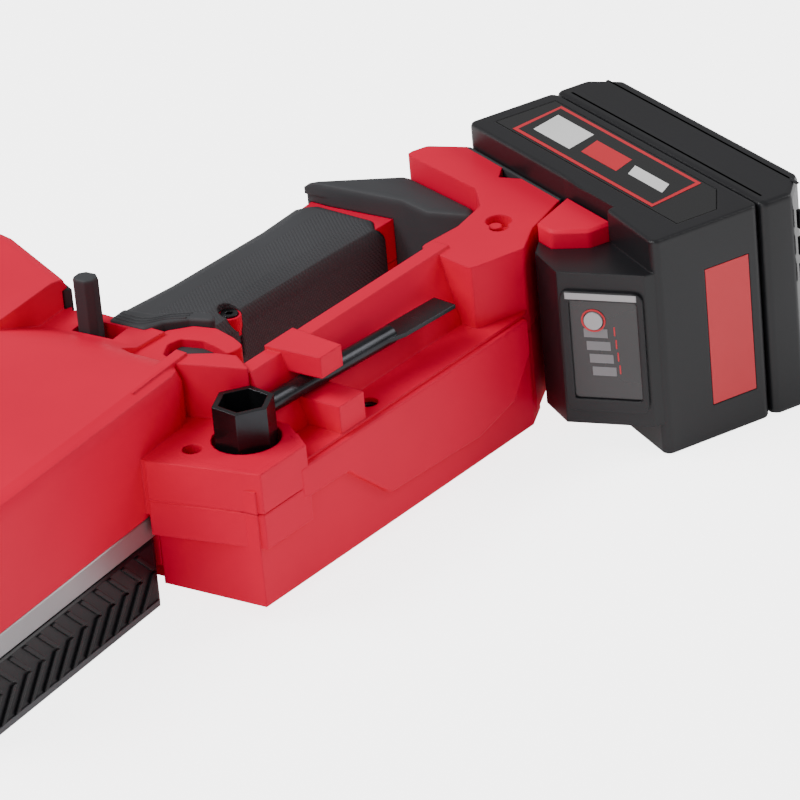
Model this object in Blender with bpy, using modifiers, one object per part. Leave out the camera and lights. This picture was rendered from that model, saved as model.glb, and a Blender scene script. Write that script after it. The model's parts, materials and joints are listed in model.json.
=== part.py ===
"""Cordless pruning saw with a loop handle, lying on its right side.

X runs from the bar's tip (-X) to the battery (+X), Y from the beam under the
hand (-Y) to the top of the grip (+Y), and Z from the bar's side (-Z) to the
left side of the saw (+Z).  Every piece is one named object.
"""
import bpy
import bmesh
from math import atan2, cos, degrees, pi, radians, sin
from mathutils import Matrix, Vector

MM = 0.001

# ---------------------------------------------------------------- sizes
GAP = 0.3 * MM                  # air between pieces that touch
RUN = 0.6 * MM                  # air round a piece that moves

# stack across the saw, from the bar's side to the left side
BODY_TOP = 38 * MM              # left face of the front body
WALL = 3 * MM                   # moulded wall
PLATE_TOP = -8 * MM             # metal gear case, left face
PLATE_BOTTOM = -17 * MM         # metal gear case, right face
COVER_BOTTOM = -44 * MM         # sprocket cover, right face
BEAM_BOTTOM = -37 * MM          # right face of the beam and handle foot
FOOT_HALF = 34 * MM             # half width of the foot that takes the battery
LEDGE = 9 * MM                  # tray floor
SHELF = 16 * MM                 # top of the socket block
TRAY_RIM = 35 * MM              # top of the tray's back wall

# front body
BODY_FLOOR = 51 * MM            # its underside, in Y
BODY_FRONT = -252 * MM
BODY_REAR = -104 * MM           # end of its left face, in X
SPLIT_X = -132 * MM             # ahead of it the left half reaches down to the gear case
CASE_TOP_Y = 148 * MM           # top edge of the gear case
HUMP_BOTTOM = -30 * MM          # right face of the hump
BODY_BACK = 212 * MM            # top of the hump, in Y
RIM = 6.5 * MM                  # slope round the left face
RAMP_TOP = -112 * MM            # where the left face starts down to the grip, in X
RAMP_FOOT = -80 * MM

# grip
GRIP_HALF = 20 * MM             # half thickness with its rubber
RUBBER = 3 * MM
GRIP_TILT = -6.0                # degrees, the grip falls towards the battery
GRIP_MID = (-2 * MM, 96 * MM)   # middle of the grip
GRIP_LENGTH = 124 * MM
GRIP_HEIGHT = 40 * MM
CORE_RUN = 22 * MM              # the core runs on past the rubber

# beam under the hand, in its own frame
BEAM_TILT = -5.8
BEAM_START = (-132 * MM, 7 * MM)
BEAM_LENGTH = 158 * MM
WALL_FOOT = 15 * MM             # tray wall, at the ledge
WALL_HEAD = 26 * MM             # tray wall, at its rim
BEAM_HEIGHT = 37 * MM

# battery, in its own frame
PACK_TILT = -25.0
PACK_HALF = 44 * MM
PACK_SEAT = 64 * MM             # plane where it meets the foot
PACK_DEPTH = 66 * MM
PACK_LOW = -41 * MM             # end that faces down the beam
PACK_LENGTH = 134 * MM
PACK_TRAVEL = 90 * MM

# wrench
WRENCH_AT = (21 * MM, 20 * MM)  # socket's centre in the beam's frame
SOCKET_FLATS = 20 * MM
SOCKET_BORE = 16 * MM
SOCKET_TOP = 31 * MM
SOCKET_BOTTOM = 1 * MM
ROD_RADIUS = 3.6 * MM
ROD_HEIGHT = 24 * MM
ROD_REACH = 98 * MM
ROD_TILT = -4.0
BLADE_LENGTH = 30 * MM

# drive
MOTOR_AT = (-163 * MM, 122 * MM)
MOTOR_RADIUS = 27 * MM
ROTOR_RADIUS = 14 * MM
SHAFT_RADIUS = 2.5 * MM
GEAR_MODULE = 1.25 * MM
PINION_TEETH = 12
GEAR_TEETH = 36
SPINDLE_BEARING = -135.0        # degrees from the motor to the spindle
SPINDLE_RADIUS = 5 * MM
SPROCKET_RADIUS = 14.5 * MM
CHAIN_PLANE = -28 * MM

# bar and chain
BAR_THICK = 1.5 * MM
BAR_HEIGHT = 42 * MM
BAR_TAIL = -208 * MM
BAR_TIP = -478 * MM
CHAIN_HEIGHT = 9 * MM
CHAIN_THICK = 5.4 * MM
CHAIN_BAR_AIR = 0.4 * MM

STUD_RADIUS = 4 * MM
NUT_FLATS = 13 * MM
SCREW_HEAD = 3.4 * MM

ROUND_STEPS = 24


# ---------------------------------------------------------------- scene set-up
for old in list(bpy.data.objects):
    bpy.data.objects.remove(old)
for old in list(bpy.data.collections):
    bpy.data.collections.remove(old)

parts = bpy.data.collections.new("pruning_saw")
cutters = bpy.data.collections.new("cutters")
for group in (parts, cutters):
    bpy.context.scene.collection.children.link(group)

root = bpy.data.objects.new("saw_root", None)
parts.objects.link(root)


def material(name, color, roughness=0.5, metallic=0.0):
    mat = bpy.data.materials.new(name)
    mat.use_nodes = True
    shader = mat.node_tree.nodes["Principled BSDF"]
    shader.inputs["Base Color"].default_value = (*color, 1.0)
    shader.inputs["Roughness"].default_value = roughness
    shader.inputs["Metallic"].default_value = metallic
    return mat


RED = (0.72, 0.02, 0.035)
RUBBER_GREY = (0.035, 0.036, 0.04)
PACK_BLACK = (0.012, 0.012, 0.014)
COVER_BLACK = (0.01, 0.01, 0.012)
STEEL = (0.55, 0.55, 0.56)
DARK_STEEL = (0.06, 0.06, 0.065)
CAST = (0.28, 0.28, 0.29)
COPPER = (0.6, 0.28, 0.12)


# ---------------------------------------------------------------- shape helpers
def turned(point, degrees):
    a = radians(degrees)
    return (point[0] * cos(a) - point[1] * sin(a), point[0] * sin(a) + point[1] * cos(a))


def placed(points, at=(0.0, 0.0), degrees=0.0):
    """Points of a local outline, turned and moved into the saw's frame."""
    return [(at[0] + x, at[1] + y) for x, y in (turned(p, degrees) for p in points)]


def in_mm(*pairs):
    return [(x * MM, y * MM) for x, y in pairs]


def rounded(points, radius, steps=3):
    """The outline with each corner replaced by an arc, limited by its sides."""
    result = []
    count = len(points)
    for i in range(count):
        before, here, after = (Vector(points[(i + k) % count]) for k in (-1, 0, 1))
        to_before, to_after = before - here, after - here
        half = to_before.angle(to_after) / 2
        run = min(radius * cos(half) / sin(half), 0.45 * to_before.length, 0.45 * to_after.length)
        if run < 0.01 * MM or half > radians(88):
            result.append(tuple(here))
            continue
        start = here + to_before.normalized() * run
        end = here + to_after.normalized() * run
        for k in range(steps + 1):
            t = k / steps
            result.append(tuple(start * (1 - t) ** 2 + here * 2 * t * (1 - t) + end * t * t))
    return result


def circle(radius, at=(0.0, 0.0), steps=ROUND_STEPS, phase=0.0):
    return [(at[0] + radius * cos(phase + 2 * pi * k / steps),
             at[1] + radius * sin(phase + 2 * pi * k / steps)) for k in range(steps)]


def hexagon(flats, at=(0.0, 0.0), phase=0.0):
    return circle(flats / 2 / cos(pi / 6), at, 6, phase)


def box_outline(x0, x1, y0, y1):
    return [(x0, y0), (x1, y0), (x1, y1), (x0, y1)]


def finish(obj, mat, group):
    obj.data.materials.clear()
    if mat:
        obj.data.materials.append(mat)
    group.objects.link(obj)
    if group is cutters:
        obj.hide_render = True
        obj.display_type = "WIRE"
    obj.parent = root
    return obj


def plate(name, outline, z0, z1, mat=None, group=None):
    """A flat outline as a 2D curve, given its thickness and made a mesh."""
    curve = bpy.data.curves.new(name, "CURVE")
    curve.dimensions = "2D"
    curve.fill_mode = "BOTH"
    curve.extrude = (z1 - z0) / 2
    spline = curve.splines.new("POLY")
    spline.points.add(len(outline) - 1)
    for point, (x, y) in zip(spline.points, outline):
        point.co = (x, y, 0.0, 1.0)
    spline.use_cyclic_u = True
    source = bpy.data.objects.new(name + "_curve", curve)
    bpy.context.scene.collection.objects.link(source)
    seen = source.evaluated_get(bpy.context.evaluated_depsgraph_get())
    mesh = bpy.data.meshes.new_from_object(seen)
    bpy.data.objects.remove(source)
    work = bmesh.new()
    work.from_mesh(mesh)
    bmesh.ops.remove_doubles(work, verts=work.verts, dist=0.00001)
    bmesh.ops.dissolve_limit(work, angle_limit=0.001, verts=work.verts, edges=work.edges)
    bmesh.ops.translate(work, verts=work.verts, vec=(0, 0, (z0 + z1) / 2))
    bmesh.ops.recalc_face_normals(work, faces=work.faces)
    work.to_mesh(mesh)
    work.free()
    mesh.name = name
    return finish(bpy.data.objects.new(name, mesh), mat, group or parts)


def across(name, profile, start, degrees, length, mat=None, group=None):
    """A profile in the (v, z) plane, drawn out along a tilted line in plan."""
    obj = plate(name, profile, 0.0, length, mat, group)
    a = radians(degrees)
    along = Vector((cos(a), sin(a), 0))
    side = Vector((-sin(a), cos(a), 0))
    frame = Matrix((side, Vector((0, 0, 1)), along)).transposed().to_4x4()
    frame.translation = Vector((start[0], start[1], 0))
    obj.data.transform(frame)
    return obj


def change(target, tool, operation):
    step = target.modifiers.new(operation.lower(), "BOOLEAN")
    step.operation = operation
    step.object = tool
    step.solver = "EXACT"


def cut(target, outline, z0, z1, label="cut"):
    change(target, plate(target.name + "_" + label, outline, z0, z1, None, cutters), "DIFFERENCE")


def join(target, outline, z0, z1, label="add"):
    change(target, plate(target.name + "_" + label, outline, z0, z1, None, cutters), "UNION")


def ease(obj, width, segments=1, angle=35):
    step = obj.modifiers.new("edges", "BEVEL")
    step.width = width
    step.segments = segments
    step.limit_method = "ANGLE"
    step.angle_limit = radians(angle)
    step.harden_normals = False


def beam_point(u, v):
    """A point of the beam's own frame: u to the rear, v towards the grip."""
    return placed([(u, v)], BEAM_START, BEAM_TILT)[0]


def pack_point(x, y):
    return turned((x, y), PACK_TILT)


def pack_outline(points):
    return placed(points, (0, 0), PACK_TILT)


# ---------------------------------------------------------------- driving outlines
def body_outline(inset=0.0):
    """Side view of the front body: flat floor, blunt nose and a hump on top."""
    i = inset
    corners = [
        (BODY_REAR - i, BODY_FLOOR + i),
        (BODY_FRONT + i, BODY_FLOOR + i),
        (BODY_FRONT - 12 * MM + i, BODY_FLOOR + 45 * MM),
        (BODY_FRONT + 6 * MM + i, BODY_FLOOR + 104 * MM),
        (BODY_FRONT + 52 * MM + i, BODY_BACK - 14 * MM - i),
        (-150 * MM, BODY_BACK - i),
        (-58 * MM - i, BODY_BACK - 6 * MM - i),
        (-36 * MM - i, BODY_BACK - 26 * MM),
        (-40 * MM - i, 172 * MM),
        (-62 * MM - i, 132 * MM),
        (-92 * MM - i, 112 * MM),
    ]
    return rounded(corners, 9 * MM, 3)


def core_outline(inset):
    """The hollow close under the left face, which stops ahead of the ramp."""
    i = inset
    return [(RAMP_TOP - 8 * MM, BODY_FLOOR + i), (BODY_FRONT + i, BODY_FLOOR + i),
            (BODY_FRONT - 10 * MM + i, BODY_FLOOR + 45 * MM), (BODY_FRONT + 8 * MM + i, BODY_FLOOR + 104 * MM),
            (BODY_FRONT + 54 * MM + i, BODY_BACK - 16 * MM - i), (-150 * MM, BODY_BACK - 3 * MM - i),
            (-60 * MM - i, BODY_BACK - 9 * MM - i), (-54 * MM - i, 176 * MM), (-68 * MM - i, 145 * MM),
            (RAMP_TOP - 8 * MM, 140 * MM)]


def grip_point(u, v):
    return placed([(u, v)], GRIP_MID, GRIP_TILT)[0]


def grip_outline(grow=0.0, extend=0.0):
    """The grip's long side, swollen in the palm; its ends can be run on straight."""
    h = GRIP_HEIGHT / 2 + grow
    e = GRIP_LENGTH / 2
    low = [(-e, -h - 1 * MM), (-e / 3, -h + 1 * MM), (e / 2, -h), (e, -h - 2 * MM)]
    high = [(e, h + 2 * MM), (e / 2, h), (-e / 3, h + 1 * MM), (-e, h + 5 * MM)]
    if extend:
        low = [(low[0][0] - extend, low[0][1])] + low + [(low[-1][0] + extend, low[-1][1])]
        high = [(high[0][0] + extend, high[0][1])] + high + [(high[-1][0] - extend, high[-1][1])]
    return placed(low + high, GRIP_MID, GRIP_TILT)


def foot_outline():
    """The foot that carries the battery, drawn in the battery's frame."""
    seat = PACK_SEAT - GAP
    return pack_outline(rounded([
        (seat, 30 * MM), (seat, 92 * MM), (52 * MM, 104 * MM), (42 * MM, 104 * MM),
        (45 * MM, 60 * MM), (38 * MM, 46 * MM), (22 * MM, 37 * MM), (2 * MM, 32 * MM),
        (6 * MM, 4 * MM), (30 * MM, 5 * MM), (42 * MM, 17 * MM), (60 * MM, 28 * MM)], 3 * MM, 2))


def beam_outline(top=BEAM_HEIGHT):
    """The beam under the hand with the socket block at its front end."""
    return [(-132 * MM, BODY_FLOOR - GAP), beam_point(0, 0), beam_point(BEAM_LENGTH, 0),
            pack_point(36 * MM, 12 * MM), beam_point(BEAM_LENGTH - 4 * MM, top),
            beam_point(38 * MM, top), (-97 * MM, 58 * MM), (-104 * MM, 64 * MM),
            (-128 * MM, 64 * MM), (-128 * MM, BODY_FLOOR - GAP)]


def gusset_outline():
    """Where the front body runs into the grip, above the trigger."""
    front = -GRIP_LENGTH / 2 - GAP
    return in_mm((-131, 56), (-97, 56), (-93, 84), (-88, 92)) + [
        grip_point(front, -14 * MM), grip_point(front, 24 * MM)] + in_mm((-66, 132), (-131, 132))


TRIGGER_PIVOT = (-84 * MM, 95 * MM)
TRIGGER_ROOM = 8 * MM           # half width of its slot
TRIGGER_SWING = 9.0             # degrees
PEG_AT = (-73 * MM, 116 * MM)
PEG_SIZE = (8 * MM, 9 * MM)
PEG_TOP = 46 * MM
PEG_TRAVEL = 8 * MM
PEG_FACE = 25 * MM              # housing face round the lever
TERMINAL_X = (47 * MM, 55 * MM)
TERMINAL_Y = (34 * MM, 88 * MM)
RAIL_HALF = 20 * MM
BUTTON_RISE = 38 * MM           # outer face of a latch button
TANK = (-246 * MM, -205 * MM, 60 * MM, 128 * MM)
BOARD_U = (34 * MM, 120 * MM)


def spindle_at():
    reach = GEAR_MODULE * (PINION_TEETH + GEAR_TEETH) / 2
    step = turned((reach, 0), SPINDLE_BEARING)
    return (MOTOR_AT[0] + step[0], MOTOR_AT[1] + step[1])


SPINDLE = spindle_at()
STUDS = [(SPINDLE[0] - 32 * MM, SPINDLE[1]), (SPINDLE[0] - 50 * MM, SPINDLE[1])]
WRENCH = beam_point(*WRENCH_AT)


def trigger_outline(grow=0.0):
    g = grow
    return [(-90 * MM - g, 99 * MM + g), (-60 * MM + g, 95 * MM + g), (-48 * MM + g, 82 * MM + g),
            (-48 * MM + g, 68 * MM - g), (-58 * MM, 63 * MM - g), (-76 * MM, 72 * MM - g),
            (-90 * MM - g, 86 * MM - g)]


def swept_trigger_outline():
    """Every place the trigger passes through, with room round it."""
    shape = trigger_outline(RUN)
    lifted = [(p[0] - TRIGGER_PIVOT[0], p[1] - TRIGGER_PIVOT[1]) for p in shape]
    lifted = placed(lifted, TRIGGER_PIVOT, TRIGGER_SWING)
    corner = (min(shape[0][0], lifted[0][0]), max(shape[0][1], lifted[0][1]))
    return [shape[6], corner, lifted[1], lifted[2], lifted[3], shape[3], shape[4], shape[5]]


def screw(name, at, z0, z1, head=SCREW_HEAD):
    """A cap screw: a headed pin with a hexagon socket, head towards +Z."""
    obj = plate(name, circle(head, at, 12), z1 - 3 * MM, z1, dark_steel)
    join(obj, circle(head * 0.5, at, 8), z0, z1 - 2.5 * MM, "shank")
    cut(obj, hexagon(head * 0.8, at), z1 - 1.6 * MM, z1 + MM, "drive")
    return obj


def screw_room(target, at, z0, z1, head=SCREW_HEAD):
    cut(target, circle(head + GAP, at, 12), z1 - 3 * MM - GAP, z1 + 40 * MM, "head_room")
    cut(target, circle(head * 0.5 + GAP, at, 8), z0 - GAP, z1, "shank_room")


# ---------------------------------------------------------------- materials
red = material("red_nylon", RED, 0.42)
rubber = material("grip_rubber", RUBBER_GREY, 0.75)
pack_black = material("battery_black", PACK_BLACK, 0.38)
cover_black = material("cover_black", COVER_BLACK, 0.45)
steel = material("steel", STEEL, 0.3, 1.0)
dark_steel = material("black_oxide_steel", DARK_STEEL, 0.3, 1.0)
cast = material("cast_alloy", CAST, 0.5, 0.9)
copper = material("copper_winding", COPPER, 0.4, 1.0)
lens_dark = material("smoked_lens", (0.02, 0.02, 0.022), 0.15)
board_green = material("circuit_board", (0.02, 0.12, 0.05), 0.5)
tank_white = material("tank_white", (0.75, 0.74, 0.7), 0.5)
label_grey = material("label_silver", (0.4, 0.4, 0.4), 0.35)

HOUSING_SCREWS = {
    "grip_screw": ((-31 * MM, 84 * MM), 17.5 * MM),
    "tray_screw": (beam_point(74 * MM, 7.5 * MM), 7.5 * MM),
    "block_screw": ((-124 * MM, 38 * MM), 12 * MM),
    "foot_screw": (pack_point(33 * MM, 26 * MM), 29 * MM),
}

# ---------------------------------------------------------------- left housing
# every solid of a half runs a little past the split plane, then one cut trims them all
half = GAP / 2
left = plate("left_housing", body_outline(), PLATE_TOP - 12 * MM, BODY_TOP, red)
ease(left, RIM, 2, 60)
cut(left, box_outline(-320 * MM, 0, 0, 320 * MM), PLATE_TOP - 20 * MM, PLATE_TOP + GAP, "foot_trim")
cut(left, body_outline(WALL), PLATE_TOP - MM, PEG_FACE - MM, "hollow")
cut(left, core_outline(WALL), PEG_FACE - 2 * MM, BODY_TOP - RIM - MM, "upper_hollow")
cut(left, core_outline(WALL + RIM), PEG_FACE - 3 * MM, BODY_TOP - WALL, "top_hollow")
join(left, gusset_outline(), -2 * MM, BODY_TOP - 0.05 * MM, "gusset")
ramp = across("ramp", [(-RAMP_TOP, BODY_TOP), (-RAMP_FOOT, PEG_FACE), (30 * MM, PEG_FACE), (30 * MM, 60 * MM),
                       (-RAMP_TOP, 60 * MM)], (0, 61 * MM), 90, 73.3 * MM, None, cutters)
change(left, ramp, "DIFFERENCE")
join(left, grip_outline(-RUBBER - GAP, CORE_RUN), -3 * MM, GRIP_HALF - RUBBER - GAP, "grip_core")
join(left, beam_outline(), -4 * MM, LEDGE, "beam")
join(left, foot_outline(), -5 * MM, FOOT_HALF, "foot")
WALL_BACK = BEAM_HEIGHT - 0.5 * MM
wall_profile = [(WALL_FOOT, LEDGE - 2 * MM), (WALL_BACK, LEDGE - 2 * MM), (WALL_BACK, TRAY_RIM - 6 * MM),
                (WALL_BACK - 4 * MM, TRAY_RIM), (WALL_HEAD, TRAY_RIM)]
tray_wall = across("tray_wall", wall_profile, beam_point(33 * MM, 0), BEAM_TILT, 116 * MM, None, cutters)
change(left, tray_wall, "UNION")
join(left, [(-138 * MM, 49 * MM), (-130.5 * MM, 5 * MM), (-105 * MM, 2.5 * MM), beam_point(36.4 * MM, 13 * MM),
            beam_point(36.4 * MM, 33.3 * MM), (-101.3 * MM, 57.2 * MM), (-137.1 * MM, 57.2 * MM)], -6 * MM, SHELF,
     "socket_block")
join(left, in_mm((-104.7, 57.7), (-97.5, 29.3), (-90.3, 39.2), (-91.6, 47), (-97.3, 58.7)), SHELF - 2 * MM,
     TRAY_RIM + 2 * MM, "pocket_wall")
join(left, [beam_point(50 * MM, 0.6 * MM), beam_point(64 * MM, 0.6 * MM), beam_point(64 * MM, 24 * MM),
            beam_point(50 * MM, 24 * MM)], LEDGE - MM, ROD_HEIGHT - ROD_RADIUS - RUN, "clip_post")
join(left, [beam_point(52 * MM, 9 * MM), beam_point(64 * MM, 9 * MM), beam_point(66 * MM, 33 * MM),
            beam_point(50 * MM, 33 * MM)], ROD_HEIGHT + ROD_RADIUS + RUN, TRAY_RIM + 1.5 * MM, "clip_tab")
cut(left, box_outline(SPLIT_X, 150 * MM, -120 * MM, 320 * MM), -20 * MM, half, "split")
cut(left, circle(SOCKET_FLATS / 2 / cos(pi / 6) + 1.2 * MM, WRENCH), SOCKET_BOTTOM - RUN, TRAY_RIM + 20 * MM,
    "wrench_pocket")
cut(left, placed(box_outline(0, 60 * MM, -ROD_RADIUS - RUN, ROD_RADIUS + RUN), WRENCH, BEAM_TILT + ROD_TILT),
    ROD_HEIGHT - ROD_RADIUS - RUN, ROD_HEIGHT + ROD_RADIUS + RUN, "rod_room")
cut(left, swept_trigger_outline(), -MM, TRIGGER_ROOM + RUN, "trigger_slot")
cut(left, box_outline(-78 * MM, -68 * MM, PEG_AT[1] - PEG_SIZE[1] / 2 - PEG_TRAVEL - RUN,
                      PEG_AT[1] + PEG_SIZE[1] / 2 + RUN), 10 * MM, BODY_TOP + MM, "lever_slot")
cut(left, pack_outline(box_outline(TERMINAL_X[0] - GAP, PACK_SEAT + MM, 10 * MM, TERMINAL_Y[1] + GAP)),
    -MM, RAIL_HALF + 2 * MM, "rail_room")
for label, ((x, y), top) in HOUSING_SCREWS.items():
    screw_room(left, (x, y), top - 12 * MM, top)
for k in range(4):
    cut(left, placed(box_outline(-2 * MM, 2 * MM, -17 * MM, 17 * MM), ((-76 - 13 * k) * MM, 168 * MM), -22),
        BODY_TOP - WALL - MM, BODY_TOP + MM, "vent_%d" % k)
OIL_NECK = (-226 * MM, 94 * MM)
cut(left, circle(15 * MM + RUN, OIL_NECK), BODY_TOP - WALL - MM, BODY_TOP + MM, "cap_hole")

# ---------------------------------------------------------------- right housing
right = plate("right_housing", beam_outline(), BEAM_BOTTOM, 2 * MM, red)
hump = plate("right_hump", body_outline(), HUMP_BOTTOM, 3 * MM, None, cutters)
cut(hump, box_outline(-300 * MM, SPLIT_X + GAP, 0, 300 * MM), PLATE_TOP, 10 * MM, "rim_room")
cut(hump, box_outline(-310 * MM, SPLIT_X, -MM, CASE_TOP_Y + GAP), -60 * MM, 11 * MM, "case_room")
cut(hump, body_outline(WALL), HUMP_BOTTOM + WALL, 12 * MM, "hollow")
change(right, hump, "UNION")
join(right, gusset_outline(), HUMP_BOTTOM + MM, 4 * MM, "gusset")
join(right, grip_outline(-RUBBER - GAP, CORE_RUN), -(GRIP_HALF - RUBBER - GAP), 5 * MM, "grip_core")
join(right, foot_outline(), -FOOT_HALF, 6 * MM, "foot")
cut(right, box_outline(-320 * MM, 150 * MM, -120 * MM, 320 * MM), -half, 20 * MM, "split")
cut(right, placed(box_outline(BOARD_U[0] - 6 * MM, BOARD_U[1] + 8 * MM, WALL, BEAM_HEIGHT - WALL),
                  BEAM_START, BEAM_TILT), BEAM_BOTTOM + WALL, MM, "hollow")
cut(right, swept_trigger_outline(), -TRIGGER_ROOM - RUN, MM, "trigger_slot")
cut(right, pack_outline(box_outline(TERMINAL_X[0] - GAP, PACK_SEAT + MM, 10 * MM, TERMINAL_Y[1] + GAP)),
    -RAIL_HALF - 2 * MM, MM, "rail_room")
for label, ((x, y), top) in HOUSING_SCREWS.items():
    if label != "tray_screw":
        cut(right, circle(SCREW_HEAD * 0.5 + GAP, (x, y), 8), min(top - 12 * MM, 0) - MM, MM, "screw_hole")
for label, (at, top) in HOUSING_SCREWS.items():
    screw(label, at, top - 12 * MM, top)

# ---------------------------------------------------------------- rubber
grip = plate("grip_rubber", grip_outline(), -GRIP_HALF, GRIP_HALF, rubber)
ease(grip, 9 * MM, 2)
cut(grip, grip_outline(-RUBBER, CORE_RUN), -GRIP_HALF + RUBBER, GRIP_HALF - RUBBER, "core_room")
cut(grip, swept_trigger_outline(), -TRIGGER_ROOM - RUN, TRIGGER_ROOM + RUN, "trigger_slot")
cut(grip, circle(SCREW_HEAD + MM, HOUSING_SCREWS["grip_screw"][0], 12), 0, GRIP_HALF + MM, "screw_hole")
collar = plate("rear_collar", [(61 * MM, 112 * MM), (61 * MM, 66 * MM), (56 * MM, 52 * MM), (60 * MM, 34 * MM),
                               pack_point(44.6 * MM, 60 * MM), pack_point(41.6 * MM, 103 * MM)],
               -GRIP_HALF - 6 * MM, GRIP_HALF + 6 * MM, rubber)
ease(collar, 4 * MM, 2)
cut(collar, grip_outline(-RUBBER, CORE_RUN), -GRIP_HALF + RUBBER, GRIP_HALF - RUBBER, "core_room")
cut(collar, grip_outline(MM, GAP), -GRIP_HALF - GAP, GRIP_HALF + GAP, "grip_room")
cut(collar, foot_outline(), -FOOT_HALF - GAP, FOOT_HALF + GAP, "foot_room")

thumb_pad_outline = in_mm((-60.5, 132.5), (-38.5, 171), (-35, 185), (-38, 187), (-43, 173), (-62.8, 135))
pad_room = in_mm((-58, 130.5), (-36, 171), (-33, 188), (-38.6, 189), (-43.6, 173), (-64.6, 133.5))
cut(left, pad_room, 2 * MM, BODY_TOP - 6 * MM, "pad_room")
thumb_pad = plate("thumb_pad", thumb_pad_outline, 2.5 * MM, BODY_TOP - 6.5 * MM, rubber)

# ---------------------------------------------------------------- trigger and lever
trigger = plate("trigger", trigger_outline(), -TRIGGER_ROOM, TRIGGER_ROOM, rubber)
cut(trigger, circle(2 * MM + GAP, TRIGGER_PIVOT, 12), -20 * MM, 20 * MM, "pin_hole")
ease(trigger, 1.2 * MM, 1)
trigger_pin = plate("trigger_pin", circle(2 * MM, TRIGGER_PIVOT, 12), -12 * MM, 12 * MM, steel)
SWITCH = in_mm((-80, 104), (-57, 104), (-57, 114), (-80, 114))
switch = plate("trigger_switch", SWITCH, -7.5 * MM, 7.5 * MM, pack_black)
ease(switch, 0.8 * MM)
lever = plate("lock_off_lever", rounded(box_outline(
    PEG_AT[0] - PEG_SIZE[0] / 2, PEG_AT[0] + PEG_SIZE[0] / 2,
    PEG_AT[1] - PEG_SIZE[1] / 2, PEG_AT[1] + PEG_SIZE[1] / 2), 2.2 * MM, 1), 10.6 * MM, PEG_TOP, rubber)
ease(lever, 1.5 * MM, 2, 50)
SPRING_Z = 15 * MM
spring_start = PEG_AT[1] - PEG_SIZE[1] / 2 - 17 * MM
for target in (left, right):
    cut(target, circle(2 * MM + GAP, TRIGGER_PIVOT, 12), -12 * MM - GAP, 12 * MM + GAP, "pin_hole")
    cut(target, box_outline(-80 * MM - GAP, -57 * MM + GAP, 104 * MM - GAP, 114 * MM + GAP),
        -7.5 * MM - GAP, 7.5 * MM + GAP, "switch_room")
    cut(target, box_outline(-55.2 * MM, -45 * MM, 86 * MM, 110.5 * MM), -4 * MM, 4 * MM, "spring_room")
cut(grip, box_outline(-55.2 * MM, -45 * MM, 70 * MM, 90 * MM), -4 * MM, 4 * MM, "spring_room")
cut(left, box_outline(PEG_AT[0] - 3.5 * MM, PEG_AT[0] + 3.5 * MM, spring_start - PEG_TRAVEL - GAP,
                      PEG_AT[1]),
    SPRING_Z - 3.5 * MM, SPRING_Z + 3.5 * MM, "lever_spring_room")


def spring(name, start, direction, length, radius, wire, turns, mat):
    """A round-wire compression spring along one axis."""
    curve = bpy.data.curves.new(name, "CURVE")
    curve.dimensions = "3D"
    curve.bevel_depth = wire / 2
    curve.bevel_resolution = 1
    curve.use_fill_caps = True
    steps = 9
    count = int(turns * steps) + 1
    spline = curve.splines.new("POLY")
    spline.points.add(count - 1)
    axis = Vector(direction).normalized()
    side = axis.orthogonal().normalized()
    third = axis.cross(side)
    for k, point in enumerate(spline.points):
        a = 2 * pi * k / steps
        place = Vector(start) + axis * (length * k / (count - 1)) + (side * cos(a) + third * sin(a)) * radius
        point.co = (*place, 1.0)
    source = bpy.data.objects.new(name + "_curve", curve)
    bpy.context.scene.collection.objects.link(source)
    mesh = bpy.data.meshes.new_from_object(source.evaluated_get(bpy.context.evaluated_depsgraph_get()))
    bpy.data.objects.remove(source)
    work = bmesh.new()
    work.from_mesh(mesh)
    bmesh.ops.remove_doubles(work, verts=work.verts, dist=0.00001)
    bmesh.ops.recalc_face_normals(work, faces=work.faces)
    work.to_mesh(mesh)
    work.free()
    mesh.name = name
    return finish(bpy.data.objects.new(name, mesh), mat, parts)


spring("trigger_spring", (-49.5 * MM, 88 * MM, 0), (0, 1, 0), 12 * MM, 2.6 * MM, 0.8 * MM, 5, steel)
spring("lever_spring", (PEG_AT[0], spring_start + 0.8 * MM, SPRING_Z), (0, 1, 0), 15 * MM, 2.4 * MM,
       0.7 * MM, 5, steel)

# ---------------------------------------------------------------- gear case and drive
case = plate("gear_case", [(BODY_REAR - 28 * MM, BODY_FLOOR), (BODY_FRONT, BODY_FLOOR),
                           (BODY_FRONT - 11 * MM, BODY_FLOOR + 45 * MM), (BODY_FRONT, CASE_TOP_Y - 8 * MM),
                           (BODY_FRONT + 8 * MM, CASE_TOP_Y), (BODY_REAR - 28 * MM, CASE_TOP_Y)],
             PLATE_BOTTOM, PLATE_TOP, cast)
ease(case, 0.6 * MM)
GEAR_RADIUS = GEAR_MODULE * GEAR_TEETH / 2
PINION_RADIUS = GEAR_MODULE * PINION_TEETH / 2
CASE_FLOOR = PLATE_BOTTOM + 2.5 * MM
BAR_FACE = CHAIN_PLANE + BAR_THICK / 2
cut(case, circle(GEAR_RADIUS + 2.5 * MM, SPINDLE, 32), CASE_FLOOR, PLATE_TOP + MM, "gear_room")
cut(case, circle(PINION_RADIUS + 3 * MM, MOTOR_AT), CASE_FLOOR, PLATE_TOP + MM, "pinion_room")
join(case, rounded(box_outline(STUDS[1][0] - 10 * MM, STUDS[0][0] + 10 * MM, SPINDLE[1] - 13 * MM,
                               SPINDLE[1] + 13 * MM), 5 * MM), BAR_FACE + GAP, PLATE_BOTTOM + MM, "bar_pad")
cut(case, circle(SPINDLE_RADIUS + MM, SPINDLE), PLATE_BOTTOM - MM, PLATE_TOP, "spindle_hole")
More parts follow.
